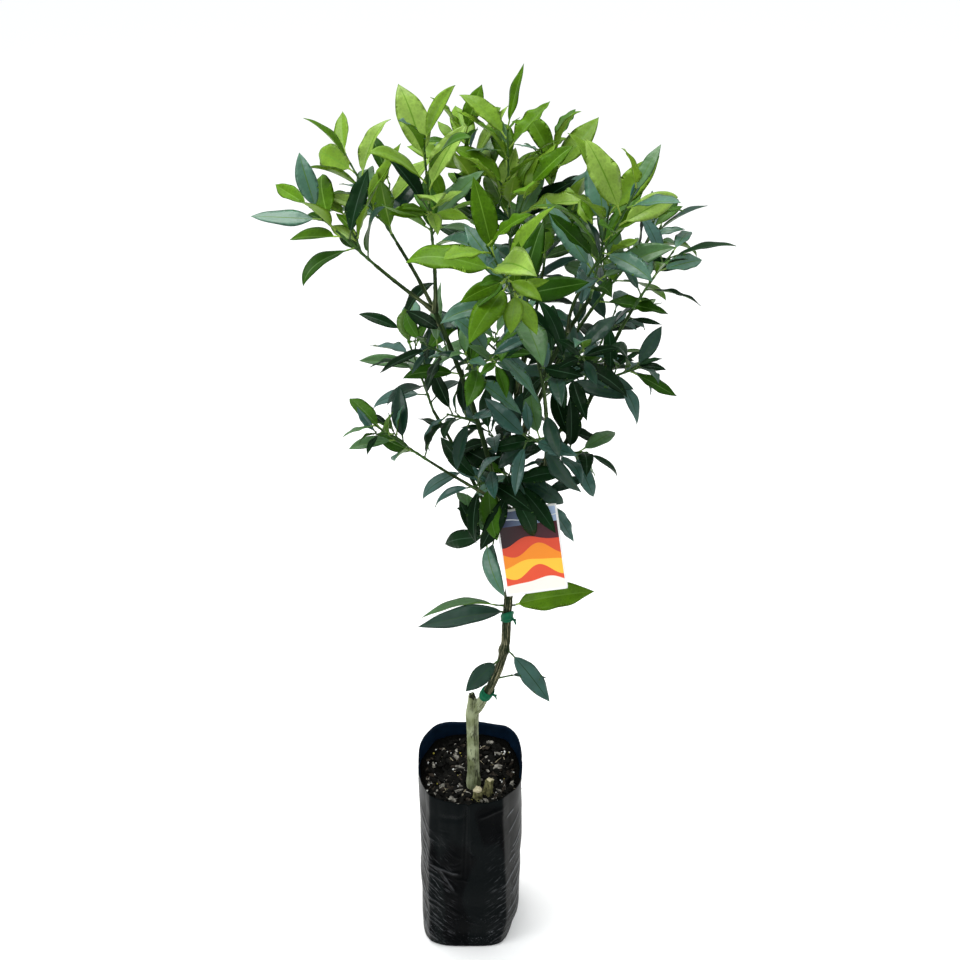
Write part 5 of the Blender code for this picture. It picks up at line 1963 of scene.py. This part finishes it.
WOOD = grained("33321C", "8C8A5F", 260.0, (1, 1, 0.3), 4.0, (0.36, 0.66), (0.85, 0), (0.8, 0.0010))
CUT_WOOD = grained("8F8862", "C9C2A6", 500.0)
fibres, prunings = Pile(), Pile()
chance = random.Random("fibres")
for _ in range(FIBRES):
    add_fibre(fibres, chance)
for pruning in PRUNINGS:
    add_pruning(prunings, pruning, chance)
fibres.piece("fibres", [finish("fibre", grained("4C4434", "A39A80", 240.0))], "mix")
woods = {"pruning": WOOD, "pruning_cut": CUT_WOOD}
prunings.piece("prunings", [finish(name, paint, 0.1) for name, paint in woods.items()], "mix")

# %% [markdown]
# ## The picture label
# A printed plastic card hangs from a strap round the leader and leans back on the leaves. Its print
# is a plain design made only for this card: a blue band across the top, and waves of orange, yellow
# and red on a dark ground, inside a white border. An image would do for a real print, but a pattern
# needs no file and stays sharp from close by. Two marks on each point say how far across and up the
# card it lies, and the shader draws with those.

# %% The card
CARD_COLUMNS = 24
CARD_ROWS = 32
CARD_THICKNESS = 0.0005
CARD_BOW = 0.0022
CORNER_CUT = 0.0016
STRAP_STEP = 0.0015
STRAP_FINE_SIDES = 8


def card_point(across, up, depth):
    """A point of the bowed card from shares of its width and height."""
    x = (across - 0.5) * LABEL_SIZE[0]
    z = (up - 0.5) * LABEL_SIZE[2]
    past_side = abs(x) + CORNER_CUT - LABEL_SIZE[0] / 2
    past_end = abs(z) + CORNER_CUT - LABEL_SIZE[2] / 2
    if min(past_side, past_end) > 0:
        x -= copysign(CORNER_CUT * 0.3, x)
        z -= copysign(CORNER_CUT * 0.3, z)
    bow = CARD_BOW * ((2 * across - 1) ** 2 - 0.5) + CARD_BOW * 0.4 * sin(3.1 * up + 0.5)
    return LABEL_CENTRE + label_turn() @ Vector((x, depth - bow, z))


def card_shape():
    """The card as rings up its height, each going across its front and back across its rear."""
    shares = [column / CARD_COLUMNS for column in range(CARD_COLUMNS + 1)]
    points, across_marks, up_marks = [], [], []
    for row in range(CARD_ROWS + 1):
        up = row / CARD_ROWS
        for depth, order in ((-CARD_THICKNESS / 2, shares), (CARD_THICKNESS / 2, shares[::-1])):
            for across in order:
                points.append(card_point(across, up, depth))
                across_marks.append(across)
                up_marks.append(up)
    faces = ring_faces(numbered_rings(CARD_ROWS + 1, 2 * (CARD_COLUMNS + 1)))
    looks = [0 if face[0] % (2 * CARD_COLUMNS + 2) < CARD_COLUMNS else 1 for face in faces]
    return points, faces, looks, across_marks, up_marks


print("the card has", 2 * (CARD_ROWS + 1) * (CARD_COLUMNS + 1), "points")

# %% The card's print
def sine(value):
    return value.math("SINE", value)


def size_of(value):
    return value.math("ABSOLUTE", value)


PRINT_WAVES = (  # how far up the card each colour reaches
    (0.62, "D6472A"), (0.50, "F08A1E"), (0.37, "FFC23A"), (0.25, "E3502F"), (0.14, "F4EFE6"),
)


def print_paint(start):
    """White border, blue band, and waves on a dark ground."""
    across, up = marked(start, "across"), marked(start, "up")
    sway = sine(across * 7.0 + 0.6) * 0.045
    colour = between(ramped(across + up * 0.3, 0.0, 1.2), tint("140A0C"), tint("4A0F1E"))
    for level, code in PRINT_WAVES:
        slope = sine(across * 9.0 + level * 23) * 0.03
        colour = between(up + sway + slope < level, colour, tint(code))
    band = between(ramped(across, 0.1, 0.95), tint("16234C"), tint("AFC6E6"))
    colour = between(up > 0.80, colour, band)
    stripe = size_of(up - 0.86 - sway * 0.5) < 0.006
    colour = between(stripe, colour, tint("E8EEF6"))
    sides, ends = size_of(across - 0.5) > 0.465, size_of(up - 0.5) > 0.474
    colour = between(sides.math("MAXIMUM", sides, ends), colour, tint("F6F6F4"))
    scuff = grain(start, 150.0, detail=4.0)
    rough = 0.26 + scuff * 0.14
    return {"Base Color": colour, "Roughness": rough, "Normal": bumped(scuff, 0.08, 0.0005)}


label = Pile()
card_points, card_faces, card_looks, across_marks, up_marks = card_shape()
label.add(card_points, card_faces, card_looks, across=across_marks, up=up_marks)
strap_fine = smooth_line(strap_points, STRAP_STEP)
strap_shape = tube(strap_fine, [STRAP_RADIUS] * len(strap_fine), STRAP_FINE_SIDES)
label.add(*strap_shape, 1, across=0.0, up=0.0)
blank = finish("card_back", grained("E9E9E6", "F7F7F5", 220.0, rough=(0.38, 0)), 0.45)
label.piece("picture_label", [finish("card_print", print_paint, 0.5), blank], "card", ["label"])

# %% [markdown]
# ## Bands of soft tape
# Green budding tape holds the graft and the stem. It is a stretchy strip, so it is wound twice,
# puckers at its edges and ends in a knot with two short tails.

# %% Tape
Tie = namedtuple("Tie", "limb share wide knot")  # knot: its azimuth, and the band's high side
TIES = {
    "graft_tie": Tie("bow", 0.32, 0.0085, -20),
    "stem_tie": Tie("leader", 0.150, 0.0115, -35),
    "label_tie": Tie("leader", 0.625, 0.0105, 200),
}
TAPE_THICKNESS = 0.0006
TAPE_RINGS = 9
TAPE_COLUMNS = 40
TURNS = ((0.10, 0.0), (0.55, 0.0009))  # how far each turn of tape tilts, and how far out it lies
TAPE_GAP = 0.0002  # between the stem and the tape
TAIL_LONG = 0.0065
TAIL_WIDE = 0.0032
TAIL_STEPS = 6
TAIL_DROOP = 0.004
TAIL_THICKNESS = 0.0005
TAILS = ((0.35, 0.0), (-0.75, 1.9))  # how far each tail rises, and how it twists
KNOT_OUT = 0.0014
KNOT_RADIUS = 0.0021
KNOT_SHAPE = (1.1, 0.9, 1.2)


def tape_band(tie, middle, axes, radius, tilt):
    """A closed band whose edges pucker, tilted across the stem."""
    direction, side, other = axes
    points = []
    for layer, order in ((1, range(TAPE_RINGS)), (0, reversed(range(TAPE_RINGS)))):
        for row in order:
            level = row / (TAPE_RINGS - 1) - 0.5
            for column in range(TAPE_COLUMNS):
                turn = tau * column / TAPE_COLUMNS
                overlap = 0.0004 * (1 + sin(9 * level + 1.4 * sin(turn)))
                pucker = 0.0005 * abs(level) * noise_at(cos(turn) * 4, sin(turn) * 4, row)
                reach = radius + layer * (TAPE_THICKNESS + overlap + pucker)
                lean = tie.wide * (level + tilt * sin(turn + tie.knot))
                out = (side * cos(turn) + other * sin(turn)) * reach
                points.append(middle + out + direction * lean)
    rings = numbered_rings(2 * TAPE_RINGS, TAPE_COLUMNS)
    return points, ring_faces([*rings, rings[0]])[1:-1]


def tape_tail(root, way, flat, turn):
    """A short strip that narrows a little and droops."""
    across = way.cross(flat).normalized()
    points = []
    for step in range(TAIL_STEPS + 1):
        share = step / TAIL_STEPS
        middle = root + way * TAIL_LONG * share + flat * 0.0012 * sin(share * 4 + turn)
        middle.z -= TAIL_DROOP * share * share
        wide = TAIL_WIDE * (0.45 + 0.55 * min(1, share * 3)) / 2
        for x, z in ((-wide, 0), (wide, 0), (wide, -TAIL_THICKNESS), (-wide, -TAIL_THICKNESS)):
            points.append(middle + across * x + flat * z)
    return points, ring_faces(numbered_rings(TAIL_STEPS + 1, 4))


print(len(TIES), "ties, each wound", len(TURNS), "times")

# %% Tape on the stem
stretched = grained("03402A", "0A6443", 420.0, (1, 1, 0.3), rough=(0.34, 0.2), bump=(0.4, 0.0004))
tape = finish("tape", stretched, 0.10)
for name, tie in TIES.items():
    middle, direction = along(lines[tie.limb], tie.share)
    side = side_vector(direction)
    axes = (direction, side, direction.cross(side))
    radius = mixed((LIMBS[tie.limb].foot, LIMBS[tie.limb].tip), tie.share) + TAPE_GAP
    pile = Pile()
    for tilt, extra in TURNS:
        pile.add(*tape_band(tie, middle, axes, radius + extra, tilt))
    turn = radians(tie.knot)
    out = Vector((cos(turn), sin(turn), 0))
    knot = middle + out * (radius + KNOT_OUT)
    pile.add(NUGGET * KNOT_RADIUS * KNOT_SHAPE + np.array(knot), NUGGET_FACES)
    for lift, bend in TAILS:
        way = (out + Vector((0, 0, lift))).normalized()
        pile.add(*tape_tail(knot, way, way.cross(out.cross(Vector((0, 0, 1)))).normalized(), bend))
    pile.piece(f"{name}_tape", [tape], "tape", [name])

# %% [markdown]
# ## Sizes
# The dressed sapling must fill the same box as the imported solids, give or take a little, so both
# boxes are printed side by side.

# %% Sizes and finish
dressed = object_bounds()
for corner, plain in zip(dressed, packed_box):
    print("dressed", [round(v, 4) for v in corner], "packed", [round(v, 4) for v in plain])
